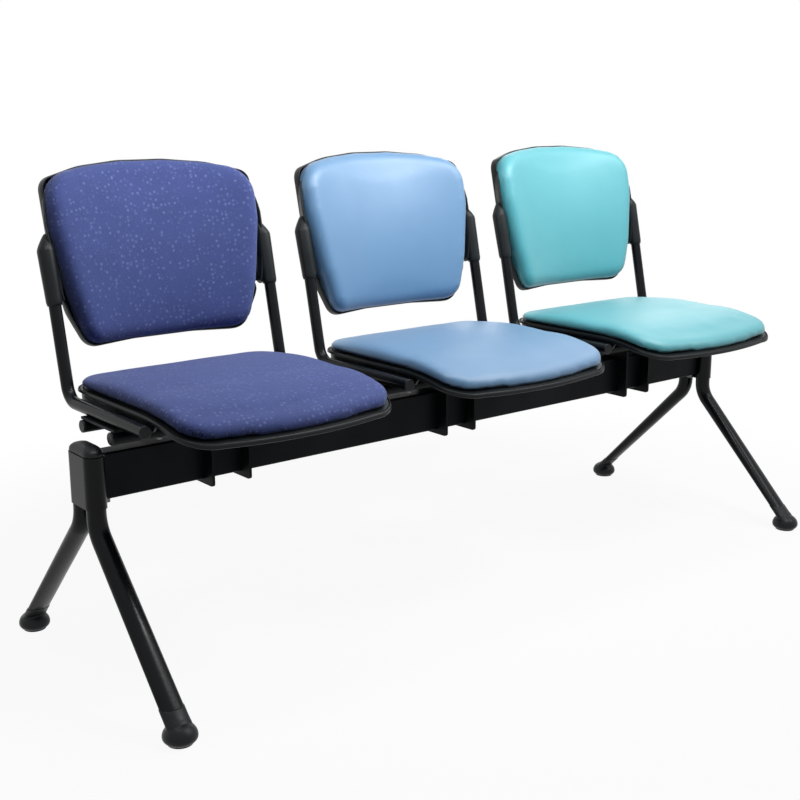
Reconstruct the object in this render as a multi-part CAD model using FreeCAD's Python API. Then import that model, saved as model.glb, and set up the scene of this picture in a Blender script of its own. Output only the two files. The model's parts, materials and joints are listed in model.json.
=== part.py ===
import FreeCAD
import Part
from FreeCAD import Vector

import math
import os

# Three-seat beam seating, in millimetres, +Z up, the sitter facing -Y.
# The origin is on the floor under the middle of the beam, and the beam runs along X.

# Driving dimensions: the row
SEAT_PITCH = 536.0
SEAT_NAMES = ("left", "middle", "right")
BEAM_HEIGHT = 80.0
BEAM_DEPTH = 40.0
BEAM_WALL = 3.0
BEAM_TOP = 405.4
BEAM_HALF_LENGTH = 774.5
BEAM_BOTTOM = BEAM_TOP - BEAM_HEIGHT

# Driving dimensions: the legs
LEG_X = 793.0
LEG_TUBE_RADIUS = 16.5
LEG_TUBE_WALL = 2.0
LEG_TUBE_SPACING = 25.4
LEG_TUBE_TOP = 402.0
LEG_CORNER_Z = 281.5
LEG_BEND_RADIUS = 58.0
LEG_SLANT = math.radians(45.0)
LEG_END_Z = 34.0
LEG_SLANT_TOP_HALF_WIDTH = 18.0
LEG_SLANT_TOP_HALF_DEPTH = 14.6
LEG_END_HALF_WIDTH = 20.6
LEG_END_HALF_DEPTH = 9.2
HEAD_WALL = 2.0
HEAD_BOTTOM = 317.0
HEAD_TOP = 406.0
CAP_TOP = 424.0
SPIGOT_LENGTH = 120.0
FOOT_RADIUS = 27.5
FOOT_BASE_RADIUS = 22.0
FOOT_BASE_HEIGHT = 5.0
FOOT_WIDEST_Z = 11.0
FOOT_DOME_TOP = 31.0
FOOT_SLEEVE_LENGTH = 50.0
FOOT_SLEEVE_TOP = 51.0
FOOT_SLEEVE_WALL = 1.6

# Driving dimensions: the frame under and behind each seat
SIDE_TUBE_X = 220.6
SIDE_TUBE_RADIUS = 11.0
SIDE_TUBE_WALL = 2.0
SIDE_TUBE_Z = 464.0
SIDE_TUBE_FRONT_Y = -142.0
SIDE_TUBE_CORNER_Y = 136.4
SIDE_TUBE_BEND = 34.0
BACK_LEAN_DEG = 12.3
SIDE_TUBE_RISE = 108.0
CROSS_TUBE_Z = 437.5
CROSS_TUBE_Y = 53.0
CROSS_TUBE_HALF_LENGTH = 236.0
STRIP_HALF_LENGTH = 62.0
STRIP_WIDTH = 28.0
BRACKET_MIDDLE_X = -7.5
BRACKET_WEB_TOP = 426.5
BRACKET_WEB_THICKNESS = 4.0
BRACKET_HALF_WIDTH = 40.0
BRACKET_PLATE = 5.0
BRACKET_HALF_DEPTH = 46.0
BRACKET_BOTTOM = 316.0
CLAMP_PLATE_THICKNESS = 6.0

# Driving dimensions: the seat
SEAT_HALF_WIDTH = 205.0
SEAT_REAR_Y = 165.0
SEAT_FRONT_Y = -271.0
SEAT_FRONT_BOW = 13.0
SEAT_FRONT_CORNER = 59.0
SEAT_REAR_CORNER = 54.0
SEAT_UNDERSIDE_Z = 485.0
SEAT_KNEE_Y = -100.0
SEAT_DROP_RADIUS = 525.0
SEAT_CROWN_Z = 511.0
SEAT_REAR_TOP_Z = 500.5
SEAT_SIDE_FALL = 2.0
SEAT_EDGE_ROUND = 20.0
SEAT_BOARD = 8.0
SEAT_BOARD_INSET = 20.0
SEAT_SHELL = 4.0
SEAT_LIP = 7.0
SEAT_LIP_DEPTH = 8.5
SEAT_LIP_REAR_Y = 98.0
SEAT_SKIRT_BOTTOM = 458.0
SEAT_SKIRT_FRONT_Y = -150.0
SEAT_SKIRT_REAR_Y = 151.0

# Driving dimensions: the backrest, in a frame that leans with the uprights.
# Its origin is on the upright's axis, its Z runs up the upright and its Y backward.
BACK_ORIGIN_Y = 169.7
BACK_ORIGIN_Z = 616.0
BACK_RADIUS = 655.0
BACK_MIDDLE_Y = 52.0
BACK_SHELL = 4.0
BACK_RIM = 14.0
BACK_BOARD = 8.0
BACK_PAD_RADIUS = 470.0
BACK_PAD_THICKNESS = 48.5
BACK_PAD_EDGE = 32.5
BACK_PAD_TOP = 266.0
BACK_PAD_HALF_WIDTH = 209.0
BACK_PAD_EDGE_ROUND = 38.0
BACK_PAD_TOP_CORNER = (176.0, 44.0)
BACK_PAD_LOW_CORNER = (138.0, 173.5, 34.0)
BACK_PAD_FLANK_Z = -30.0
BACK_PAD_FLANK_SLOPE = 4.9
SLEEVE_RADIUS = 14.2
SLEEVE_MOUTH_RADIUS = 12.7
SLEEVE_MOUTH_HEIGHT = 7.0
SLEEVE_SHOULDER_RADIUS = 15.6
SLEEVE_SHOULDER_SHIFT = 2.2
SLEEVE_BOTTOM = 11.0
SLEEVE_SHOULDER = 110.0
SLEEVE_TIP = 137.0
SLEEVE_TIP_SHIFT = 7.0

# Driving dimensions: fasteners
SCREW_RADIUS = 2.5
BOLT_RADIUS = 4.0
HEX_WIDTH = 13.0
FIT = 0.2


def box(x0, x1, y0, y1, z0, z1):
    """Return the axis-aligned block between two corners."""
    return Part.makeBox(x1 - x0, y1 - y0, z1 - z0, Vector(x0, y0, z0))


def rod(x, y, z0, z1, radius):
    """Return a round bar along Z."""
    return Part.makeCylinder(radius, z1 - z0, Vector(x, y, z0))


def hexagon(x, y, z0, z1, across_flats):
    """Return a hexagonal bolt head or nut along Z."""
    corner = across_flats / math.sqrt(3.0)
    points = []
    for k in range(7):
        angle = math.radians(60.0 * k)
        points.append(Vector(x + corner * math.cos(angle), y + corner * math.sin(angle), z0))
    face = Part.Face(Part.makePolygon(points))
    return face.extrude(Vector(0, 0, z1 - z0))


def mirrored(shape):
    """Return the shape's mirror image across the row's middle plane X = 0."""
    return shape.mirror(Vector(0, 0, 0), Vector(1, 0, 0))


def rounded_outline(points, radii):
    """Return the closed wire through plan points whose corners are rounded by the radii."""
    count = len(points)
    starts = []
    ends = []
    middles = []
    for k in range(count):
        here = points[k]
        before = (points[k - 1] - here).normalize()
        after = (points[(k + 1) % count] - here).normalize()
        half = 0.5 * before.getAngle(after)
        reach = radii[k] / math.tan(half)
        starts.append(here + before * reach)
        ends.append(here + after * reach)
        inward = (before + after).normalize()
        middles.append(here + inward * (radii[k] / math.sin(half) - radii[k]))
    edges = []
    for k in range(count):
        edges.append(Part.Arc(starts[k], middles[k], ends[k]).toShape())
        following = starts[(k + 1) % count]
        if (following - ends[k]).Length > 1e-6:
            edges.append(Part.makeLine(ends[k], following))
    return Part.Wire(edges)


def save(name, shape):
    """Check one node's shape and write it as parts/NAME.step."""
    if not shape.isValid():
        raise ValueError("invalid shape: " + name)
    shape.exportStep("parts/" + name + ".step")


# The beam and its ends


def make_beam():
    """Rectangular steel tube that carries the whole row."""
    half_depth = BEAM_DEPTH / 2.0
    corner = 4.0
    outer = box(-BEAM_HALF_LENGTH, BEAM_HALF_LENGTH, -half_depth, half_depth, BEAM_BOTTOM, BEAM_TOP)
    long_edges = [edge for edge in outer.Edges if edge.Length > BEAM_HALF_LENGTH]
    outer = outer.makeFillet(corner, long_edges)
    bore = box(-BEAM_HALF_LENGTH, BEAM_HALF_LENGTH, -half_depth + BEAM_WALL, half_depth - BEAM_WALL,
               BEAM_BOTTOM + BEAM_WALL, BEAM_TOP - BEAM_WALL)
    beam = outer.cut(bore)
    for x, y in leg_bolt_places():
        beam = beam.cut(rod(x, y, BEAM_BOTTOM - 1, BEAM_BOTTOM + BEAM_WALL + 1, BOLT_RADIUS + FIT))
    return beam


def leg_bolt_places():
    """Return the places of the bolts that hold the beam on the leg spigots."""
    places = []
    for side in (-1, 1):
        for y in (-8.0, 8.0):
            places.append((side * 766.0, y))
    return places


def stadium(half_length, radius, z0, z1):
    """Return an upright prism with a stadium-shaped plan around the two leg tubes."""
    points = [
        Vector(LEG_X - radius, -half_length, z0),
        Vector(LEG_X + radius, -half_length, z0),
        Vector(LEG_X + radius, half_length, z0),
        Vector(LEG_X - radius, half_length, z0),
    ]
    front = Part.Arc(points[0], Vector(LEG_X, -half_length - radius, z0), points[1]).toShape()
    outer_side = Part.makeLine(points[1], points[2])
    rear = Part.Arc(points[2], Vector(LEG_X, half_length + radius, z0), points[3]).toShape()
    inner_side = Part.makeLine(points[3], points[0])
    face = Part.Face(Part.Wire([front, outer_side, rear, inner_side]))
    return face.extrude(Vector(0, 0, z1 - z0))


def make_leg_head():
    """Steel sleeve that holds the two leg tubes side by side at the beam's end."""
    radius = LEG_TUBE_RADIUS + HEAD_WALL
    outer = stadium(LEG_TUBE_SPACING, radius, HEAD_BOTTOM, HEAD_TOP)
    inner = stadium(LEG_TUBE_SPACING, LEG_TUBE_RADIUS + 0.05, HEAD_BOTTOM, HEAD_TOP)
    return outer.cut(inner)


def make_spigot():
    """Rectangular tube welded to the head, which slides into the beam."""
    gap = 0.3
    y = BEAM_DEPTH / 2.0 - BEAM_WALL - gap
    z0 = BEAM_BOTTOM + BEAM_WALL + gap
    z1 = BEAM_TOP - BEAM_WALL - gap
    x1 = BEAM_HALF_LENGTH
    x0 = x1 - SPIGOT_LENGTH
    spigot = box(x0, x1, -y, y, z0, z1).cut(box(x0, x1, -y + 4, y - 4, z0 + 4, z1 - 4))
    for x, bolt_y in leg_bolt_places():
        if x > 0:
            spigot = spigot.cut(rod(x, bolt_y, z0 - 1, z0 + 5, BOLT_RADIUS + FIT))
    return spigot


def make_leg_bolts():
    """Button-head screws that come up through the beam's underside into the spigots."""
    solids = []
    for x, y in leg_bolt_places():
        shank = rod(x, y, BEAM_BOTTOM, BEAM_BOTTOM + 14.0, BOLT_RADIUS)
        head = rod(x, y, BEAM_BOTTOM - 7.0, BEAM_BOTTOM, 6.5)
        solids.append(shank.fuse(head).removeSplitter())
    return Part.makeCompound(solids)


def make_leg_cap():
    """Domed plastic cap that closes the top of the leg head."""
    radius = LEG_TUBE_RADIUS + HEAD_WALL
    brim = stadium(LEG_TUBE_SPACING, radius, HEAD_TOP, HEAD_TOP + 3.0)
    half_length = LEG_TUBE_SPACING + radius
    rise = CAP_TOP - HEAD_TOP - 3.0
    long_radius = (half_length ** 2 + rise ** 2) / (2.0 * rise)
    along = Part.makeCylinder(long_radius, 2 * radius, Vector(LEG_X - radius, 0, CAP_TOP - long_radius),
                              Vector(1, 0, 0))
    cross_rise = 11.0
    cross_radius = (radius ** 2 + cross_rise ** 2) / (2.0 * cross_rise)
    across = Part.makeCylinder(cross_radius, 2 * half_length,
                               Vector(LEG_X, -half_length, CAP_TOP - cross_radius), Vector(0, 1, 0))
    body = stadium(LEG_TUBE_SPACING, radius, HEAD_TOP + 3.0, CAP_TOP + 1.0)
    dome = body.common(along).common(across)
    plug = stadium(LEG_TUBE_SPACING, 9.0, LEG_TUBE_TOP + 0.5, HEAD_TOP)
    return brim.fuse([dome, plug]).removeSplitter()


# The legs: two tubes to each head, round at the top and drawn to a flat oval at the foot


def leg_path():
    """Return the start of the bend, the end of the bend and the end of the leg, in (y, z)."""
    reach = LEG_BEND_RADIUS * math.tan(LEG_SLANT / 2.0)
    bend_top = (-LEG_TUBE_SPACING, LEG_CORNER_Z + reach)
    bend_end = (-LEG_TUBE_SPACING - reach * math.sin(LEG_SLANT), LEG_CORNER_Z - reach * math.cos(LEG_SLANT))
    run = (bend_end[1] - LEG_END_Z) * math.tan(LEG_SLANT)
    leg_end = (bend_end[0] - run, LEG_END_Z)
    return bend_top, bend_end, leg_end


def leg_section(y, z, angle, half_width, half_depth):
    """Return the oval wire across the leg where its axis leans by angle from the vertical."""
    centre = Vector(LEG_X, y, z)
    across = Vector(half_width, 0, 0)
    depth = Vector(0, -math.cos(angle), math.sin(angle)) * half_depth
    ellipse = Part.Ellipse(centre + across, centre + depth, centre)
    return Part.Wire([ellipse.toShape()])


def leg_solid(inset):
    """Return the solid inside the leg tube's skin, moved in by inset."""
    bend_top, bend_end, leg_end = leg_path()
    round_width = LEG_TUBE_RADIUS + 0.01 - inset
    round_depth = LEG_TUBE_RADIUS - 0.01 - inset
    top = leg_section(bend_top[0], LEG_TUBE_TOP, 0.0, round_width, round_depth)
    bend = []
    for share in (0.0, 0.25, 0.5, 0.75, 1.0):
        angle = LEG_SLANT * share
        y = bend_top[0] - LEG_BEND_RADIUS * (1.0 - math.cos(angle))
        z = bend_top[1] - LEG_BEND_RADIUS * math.sin(angle)
        width = round_width + (LEG_SLANT_TOP_HALF_WIDTH - LEG_TUBE_RADIUS) * share
        depth = round_depth + (LEG_SLANT_TOP_HALF_DEPTH - LEG_TUBE_RADIUS) * share
        bend.append(leg_section(y, z, angle, width, depth))
    end = leg_section(leg_end[0], leg_end[1], LEG_SLANT, LEG_END_HALF_WIDTH - inset, LEG_END_HALF_DEPTH - inset)
    upright = Part.makeLoft([top, bend[0]], True, True)
    curve = Part.makeLoft(bend, True, False)
    slant = Part.makeLoft([bend[-1], end], True, True)
    return upright.fuse([curve, slant])


def make_front_leg():
    """Hollow front leg tube of the right-hand leg pair."""
    return leg_solid(0.0).cut(leg_solid(LEG_TUBE_WALL))


def make_front_foot():
    """Moulded foot: a round dome on the floor with an oval sleeve around the tube's end."""
    bend_top, bend_end, leg_end = leg_path()
    foot_y = foot_centre_y()
    base = Vector(0, 0, FOOT_BASE_HEIGHT)
    rim = Vector(FOOT_BASE_RADIUS, 0, FOOT_BASE_HEIGHT)
    widest = Vector(FOOT_RADIUS, 0, FOOT_WIDEST_Z)
    shoulder = Vector(15.0, 0, FOOT_DOME_TOP - 3.0)
    top = Vector(0, 0, FOOT_DOME_TOP)
    profile = Part.Wire([
        Part.makeLine(base, rim),
        Part.Arc(rim, Vector(FOOT_RADIUS - 1.2, 0, FOOT_WIDEST_Z - 3.4), widest).toShape(),
        Part.Arc(widest, Vector(FOOT_RADIUS - 4.2, 0, FOOT_WIDEST_Z + 10.5), shoulder).toShape(),
        Part.makeLine(shoulder, top),
        Part.makeLine(top, base),
    ])
    dome = Part.Face(profile).revolve(Vector(0, 0, 0), Vector(0, 0, 1), 360)
    dome.translate(Vector(LEG_X, foot_y, 0))
    sections = []
    for share in (0.0, 1.0):
        distance = FOOT_SLEEVE_LENGTH * share - 9.0
        y = leg_end[0] + distance * math.sin(LEG_SLANT)
        z = leg_end[1] + distance * math.cos(LEG_SLANT)
        grow = (LEG_SLANT_TOP_HALF_DEPTH - LEG_END_HALF_DEPTH) * 0.15 * share
        sections.append(leg_section(y, z, LEG_SLANT, LEG_END_HALF_WIDTH + FOOT_SLEEVE_WALL,
                                    LEG_END_HALF_DEPTH + FOOT_SLEEVE_WALL + grow))
    sleeve = Part.makeLoft(sections, True, True)
    above = box(LEG_X - 60, LEG_X + 60, foot_y - 60, foot_y + 80, FOOT_SLEEVE_TOP, FOOT_SLEEVE_TOP + 60)
    sleeve = sleeve.cut(above)
    return dome.fuse(sleeve).cut(leg_solid(0.0)).removeSplitter()


def foot_centre_y():
    """Return the y of the front foot's round base, just inside the leg's axis."""
    return -281.0


def make_foot_pads():
    """Four non-slip discs pressed into the undersides of the feet."""
    discs = []
    for x in (-LEG_X, LEG_X):
        for y in (foot_centre_y(), -foot_centre_y()):
            disc = Part.makeCone(FOOT_BASE_RADIUS - 1.5, FOOT_BASE_RADIUS - 0.5, FOOT_BASE_HEIGHT, Vector(x, y, 0))
            discs.append(disc)
    return Part.makeCompound(discs)


# The steel frame of one seat, about the seat's own middle plane


def upright_direction():
    """Return the unit vector up the leaning uprights."""
    lean = math.radians(BACK_LEAN_DEG)
    return Vector(0, math.sin(lean), math.cos(lean))


def upright_point(rise):
    """Return the point on the right upright's axis at a rise above the backrest's origin."""
    return Vector(SIDE_TUBE_X, BACK_ORIGIN_Y, BACK_ORIGIN_Z) + upright_direction() * rise


def side_tube_path():
    """Return the wire along the right side tube: under the seat, round the bend and up."""
    corner = Vector(SIDE_TUBE_X, SIDE_TUBE_CORNER_Y, SIDE_TUBE_Z)
    up = upright_direction()
    turn = math.radians(90.0 - BACK_LEAN_DEG)
    reach = SIDE_TUBE_BEND * math.tan(turn / 2.0)
    front = Vector(SIDE_TUBE_X, SIDE_TUBE_FRONT_Y, SIDE_TUBE_Z)
    bend_start = corner - Vector(0, reach, 0)
    bend_end = corner + up * reach
    inward = (up - Vector(0, 1, 0)).normalize()
    bend_middle = corner + inward * (SIDE_TUBE_BEND / math.cos(turn / 2.0) - SIDE_TUBE_BEND)
    tip = upright_point(SIDE_TUBE_RISE)
    return Part.Wire([
        Part.makeLine(front, bend_start),
        Part.Arc(bend_start, bend_middle, bend_end).toShape(),
        Part.makeLine(bend_end, tip),
    ])


def swept(radius):
    """Return the round bar that follows the side tube's path."""
    start = Vector(SIDE_TUBE_X, SIDE_TUBE_FRONT_Y, SIDE_TUBE_Z)
    circle = Part.Wire([Part.makeCircle(radius, start, Vector(0, 1, 0))])
    return side_tube_path().makePipeShell([circle], True, False)


def shell_screw_places():
    """Return where the seat shell is screwed to the cross tubes."""
    return [(x, y) for x in (-150.0, 150.0) for y in (-CROSS_TUBE_Y, CROSS_TUBE_Y)]


def make_side_tube():
    """L-shaped round tube that carries the right edge of the seat and back."""
    return swept(SIDE_TUBE_RADIUS).cut(swept(SIDE_TUBE_RADIUS - SIDE_TUBE_WALL))


def make_cross_tubes():
    """Two round tubes that run across under the seat, on top of the beam bracket."""
    solids = []
    for y in (-CROSS_TUBE_Y, CROSS_TUBE_Y):
        start = Vector(-CROSS_TUBE_HALF_LENGTH, y, CROSS_TUBE_Z)
        length = 2 * CROSS_TUBE_HALF_LENGTH
        tube = Part.makeCylinder(SIDE_TUBE_RADIUS, length, start, Vector(1, 0, 0))
        tube = tube.cut(Part.makeCylinder(SIDE_TUBE_RADIUS - SIDE_TUBE_WALL, length, start, Vector(1, 0, 0)))
        for x, screw_y in shell_screw_places():
            if screw_y == y:
                tube = tube.cut(rod(x, y, CROSS_TUBE_Z - 15, CROSS_TUBE_Z + 15, SCREW_RADIUS + FIT))
        solids.append(tube)
    return Part.makeCompound(solids)


def make_strips():
    """Flat steel strips welded between the cross tubes and the side tubes."""
    top = SIDE_TUBE_Z - SIDE_TUBE_RADIUS
    bottom = CROSS_TUBE_Z + SIDE_TUBE_RADIUS
    solids = []
    for x in (-SIDE_TUBE_X, SIDE_TUBE_X):
        solids.append(box(x - STRIP_WIDTH / 2, x + STRIP_WIDTH / 2, -STRIP_HALF_LENGTH, STRIP_HALF_LENGTH,
                          bottom, top))
    return Part.makeCompound(solids)


def make_bracket():
    """Folded bracket: a top web and two side plates whose windows slide over the beam."""
    half = BRACKET_HALF_WIDTH
    middle = Vector(BRACKET_MIDDLE_X, 0, 0)
    web_bottom = BRACKET_WEB_TOP - BRACKET_WEB_THICKNESS
    bracket = box(-half, half, -CROSS_TUBE_Y - 7, CROSS_TUBE_Y + 7, web_bottom, BRACKET_WEB_TOP)
    window = box(-half - 1, half + 1, -BEAM_DEPTH / 2 - FIT, BEAM_DEPTH / 2 + FIT, BEAM_BOTTOM,
                 BEAM_TOP + FIT)
    window = window.makeFillet(3.5, [edge for edge in window.Edges if edge.Length > 2 * half + 1])
    for x0 in (-half, half - BRACKET_PLATE):
        plate = box(x0, x0 + BRACKET_PLATE, -BRACKET_HALF_DEPTH, BRACKET_HALF_DEPTH, BRACKET_BOTTOM, web_bottom)
        corners = [edge for edge in plate.Edges
                   if abs(edge.Length - BRACKET_PLATE) < 1e-6 and edge.CenterOfMass.z < BRACKET_BOTTOM + 1]
        plate = plate.makeFillet(6.0, corners)
        bracket = bracket.fuse(plate.cut(window))
    for x in (-18.0, 18.0):
        bracket = bracket.cut(rod(x, 0, web_bottom - 1, BRACKET_WEB_TOP + 1, BOLT_RADIUS + FIT))
    bracket = bracket.removeSplitter()
    bracket.translate(middle)
    return bracket


def make_clamp_plate():
    """Pressure plate between the bracket's side plates, which the clamp bolts press on the beam."""
    half = BRACKET_HALF_WIDTH - BRACKET_PLATE - 0.5
    left = BRACKET_MIDDLE_X - half
    right = BRACKET_MIDDLE_X + half
    return box(left, right, -19.0, 19.0, BEAM_TOP, BEAM_TOP + CLAMP_PLATE_THICKNESS)


def make_tube_plugs():
    """Plastic plugs in the open ends of the side tubes and cross tubes."""
    solids = []
    bore = SIDE_TUBE_RADIUS - SIDE_TUBE_WALL - 0.05
    for x in (-SIDE_TUBE_X, SIDE_TUBE_X):
        stem = Part.makeCylinder(bore, 14.0, Vector(x, SIDE_TUBE_FRONT_Y, SIDE_TUBE_Z), Vector(0, 1, 0))
        face = Part.makeCylinder(SIDE_TUBE_RADIUS, 3.0, Vector(x, SIDE_TUBE_FRONT_Y - 3.0, SIDE_TUBE_Z),
                                 Vector(0, 1, 0))
        solids.append(stem.fuse(rounded_rim(face, 0)).removeSplitter())
    for side in (-1, 1):
        for y in (-CROSS_TUBE_Y, CROSS_TUBE_Y):
            out = Vector(side, 0, 0)
            end = Vector(side * CROSS_TUBE_HALF_LENGTH, y, CROSS_TUBE_Z)
            stem = Part.makeCylinder(bore, 14.0, end - out * 14.0, out)
            face = Part.makeCylinder(SIDE_TUBE_RADIUS, 3.0, end, out)
            solids.append(stem.fuse(rounded_rim(face, side)).removeSplitter())
    return Part.makeCompound(solids)


def rounded_rim(face, side):
    """Return a plug's disc with its outer rim rounded. Side 0 is the side tubes' front end."""
    rims = []
    for edge in face.Edges:
        centre = edge.BoundBox.Center
        middle = face.BoundBox.Center
        flat = edge.BoundBox.YLength if side == 0 else edge.BoundBox.XLength
        beyond = middle.y - centre.y if side == 0 else (centre.x - middle.x) * side
        if flat < 1e-6 and beyond > 0.1:
            rims.append(edge)
    return face.makeFillet(1.8, rims)


# The seat


def seat_plan(grow, z):
    """Return the seat's plan face at height z, grown outward by grow."""
    half = SEAT_HALF_WIDTH + min(grow, 4.0) if grow > 0 else SEAT_HALF_WIDTH + grow
    rear = SEAT_REAR_Y + grow
    front_side = SEAT_FRONT_Y + SEAT_FRONT_BOW - grow
    front_middle = SEAT_FRONT_Y - grow
    rear_corner = SEAT_REAR_CORNER + grow
    front_corner = SEAT_FRONT_CORNER + grow
    arc_x = half - front_corner
    chamfer = math.sqrt(0.5)
    edges = [
        Part.makeLine(Vector(-half + rear_corner, rear, z), Vector(half - rear_corner, rear, z)),
        Part.Arc(Vector(half - rear_corner, rear, z),
                 Vector(half - rear_corner * (1 - chamfer), rear - rear_corner * (1 - chamfer), z),
                 Vector(half, rear - rear_corner, z)).toShape(),
        Part.makeLine(Vector(half, rear - rear_corner, z), Vector(half, front_side + front_corner, z)),
        Part.Arc(Vector(half, front_side + front_corner, z),
                 Vector(half - front_corner * (1 - chamfer), front_side + front_corner * (1 - chamfer), z),
                 Vector(arc_x, front_side, z)).toShape(),
        Part.Arc(Vector(arc_x, front_side, z), Vector(0, front_middle, z), Vector(-arc_x, front_side, z)).toShape(),
        Part.Arc(Vector(-arc_x, front_side, z),
                 Vector(-half + front_corner * (1 - chamfer), front_side + front_corner * (1 - chamfer), z),
                 Vector(-half, front_side + front_corner, z)).toShape(),
        Part.makeLine(Vector(-half, front_side + front_corner, z), Vector(-half, rear - rear_corner, z)),
        Part.Arc(Vector(-half, rear - rear_corner, z),
                 Vector(-half + rear_corner * (1 - chamfer), rear - rear_corner * (1 - chamfer), z),
                 Vector(-half + rear_corner, rear, z)).toShape(),
    ]
    return Part.Face(Part.Wire(edges))


def seat_prism(grow):
    """Return the upright prism over the seat's plan."""
    return seat_plan(grow, 400.0).extrude(Vector(0, 0, 140.0))


def underside_z(y):
    """Return the height of the pad's underside at y: flat, then falling at the front."""
    if y >= SEAT_KNEE_Y:
        return SEAT_UNDERSIDE_Z
    run = SEAT_KNEE_Y - y
    return SEAT_UNDERSIDE_Z - SEAT_DROP_RADIUS + math.sqrt(SEAT_DROP_RADIUS ** 2 - run ** 2)


def seat_band(lower, upper):
    """Return the slab that follows the pad's underside between two offsets above it."""
    rear = SEAT_REAR_Y + 20.0
    centre_z = SEAT_UNDERSIDE_Z - SEAT_DROP_RADIUS
    half_angle = 0.5 * math.asin((SEAT_KNEE_Y - SEAT_FRONT_Y + 30.0) / SEAT_DROP_RADIUS)

    def on_arc(offset, angle):
        radius = SEAT_DROP_RADIUS + offset
        return Vector(-260, SEAT_KNEE_Y - radius * math.sin(angle), centre_z + radius * math.cos(angle))

    low = SEAT_UNDERSIDE_Z + lower
    high = SEAT_UNDERSIDE_Z + upper
    edges = [
        Part.makeLine(Vector(-260, rear, low), Vector(-260, SEAT_KNEE_Y, low)),
        Part.Arc(on_arc(lower, 0), on_arc(lower, half_angle), on_arc(lower, 2 * half_angle)).toShape(),
        Part.makeLine(on_arc(lower, 2 * half_angle), on_arc(upper, 2 * half_angle)),
        Part.Arc(on_arc(upper, 2 * half_angle), on_arc(upper, half_angle), on_arc(upper, 0)).toShape(),
        Part.makeLine(Vector(-260, SEAT_KNEE_Y, high), Vector(-260, rear, high)),
        Part.makeLine(Vector(-260, rear, high), Vector(-260, rear, low)),
    ]
    return Part.Face(Part.Wire(edges)).extrude(Vector(520, 0, 0))


def make_seat_board():
    """Bent plywood board in the underside of the seat pad."""
    board = seat_band(0.0, SEAT_BOARD).common(seat_prism(-SEAT_BOARD_INSET))
    return cut_shell_screws(board)


def make_seat_shell():
    """Moulded under-shell: a thin dished skin with a deep lip and four bosses on the cross tubes."""
    skin = seat_band(-SEAT_SHELL, 0.0).common(seat_prism(SEAT_LIP))
    lip = seat_band(-SEAT_LIP_DEPTH, -SEAT_SHELL).common(seat_prism(SEAT_LIP).cut(seat_prism(SEAT_LIP - 4.0)))
    lip = lip.cut(box(-260, 260, SEAT_LIP_REAR_Y, 260, 440, 500))
    shell = skin.fuse(lip)
    boss_bottom = CROSS_TUBE_Z
    for x, y in shell_screw_places():
        boss = box(x - 15, x + 15, y - 17, y + 17, boss_bottom, SEAT_UNDERSIDE_Z - 2.0)
        groove = Part.makeCylinder(SIDE_TUBE_RADIUS + 0.05, 34, Vector(x - 17, y, CROSS_TUBE_Z), Vector(1, 0, 0))
        shell = shell.fuse(boss.cut(groove))
    for x in (-150.0, 150.0):
        shell = shell.fuse(box(x - 2, x + 2, -140, 140, SEAT_UNDERSIDE_Z - 16, SEAT_UNDERSIDE_Z - 2.0))
    for y in (-130.0, 130.0):
        shell = shell.fuse(box(-150, 150, y - 2, y + 2, SEAT_UNDERSIDE_Z - 16, SEAT_UNDERSIDE_Z - 2.0))
    return cut_shell_screws(shell.fuse(seat_skirts())).removeSplitter()


def seat_skirts():
    """Return the walls that hang from the shell's sides and follow its rear corners."""
    reach = box(-260, 260, SEAT_SKIRT_FRONT_Y, SEAT_SKIRT_REAR_Y, SEAT_SKIRT_BOTTOM, SEAT_UNDERSIDE_Z - 2.0)
    front_corners = [edge for edge in reach.Edges
                     if abs(edge.Length - 520.0) < 1e-6 and edge.CenterOfMass.z < SEAT_SKIRT_BOTTOM + 1
                     and edge.CenterOfMass.y < 0]
    reach = reach.makeFillet(22.0, front_corners)
    return seat_prism(-1.0).cut(seat_prism(-5.0)).common(reach).Solids


def cut_shell_screws(shape):
    """Return the shape with clearance holes for the four seat screws."""
    for x, y in shell_screw_places():
        shape = shape.cut(rod(x, y, CROSS_TUBE_Z - 20, SEAT_UNDERSIDE_Z + SEAT_BOARD - 1.0, SCREW_RADIUS + 0.05))
    return shape


def front_edge(x):
    """Return the y of the pad's front edge at a distance x from the seat's middle."""
    flat = SEAT_HALF_WIDTH - SEAT_FRONT_CORNER
    side = SEAT_FRONT_Y + SEAT_FRONT_BOW
    if abs(x) <= flat:
        return SEAT_FRONT_Y + SEAT_FRONT_BOW * (x / flat) ** 2
    return side + SEAT_FRONT_CORNER - math.sqrt(SEAT_FRONT_CORNER ** 2 - (abs(x) - flat) ** 2)


def rear_edge(x):
    """Return the y of the pad's rear edge at a distance x from the seat's middle."""
    flat = SEAT_HALF_WIDTH - SEAT_REAR_CORNER
    if abs(x) <= flat:
        return SEAT_REAR_Y
    return SEAT_REAR_Y - SEAT_REAR_CORNER + math.sqrt(SEAT_REAR_CORNER ** 2 - (abs(x) - flat) ** 2)


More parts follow.
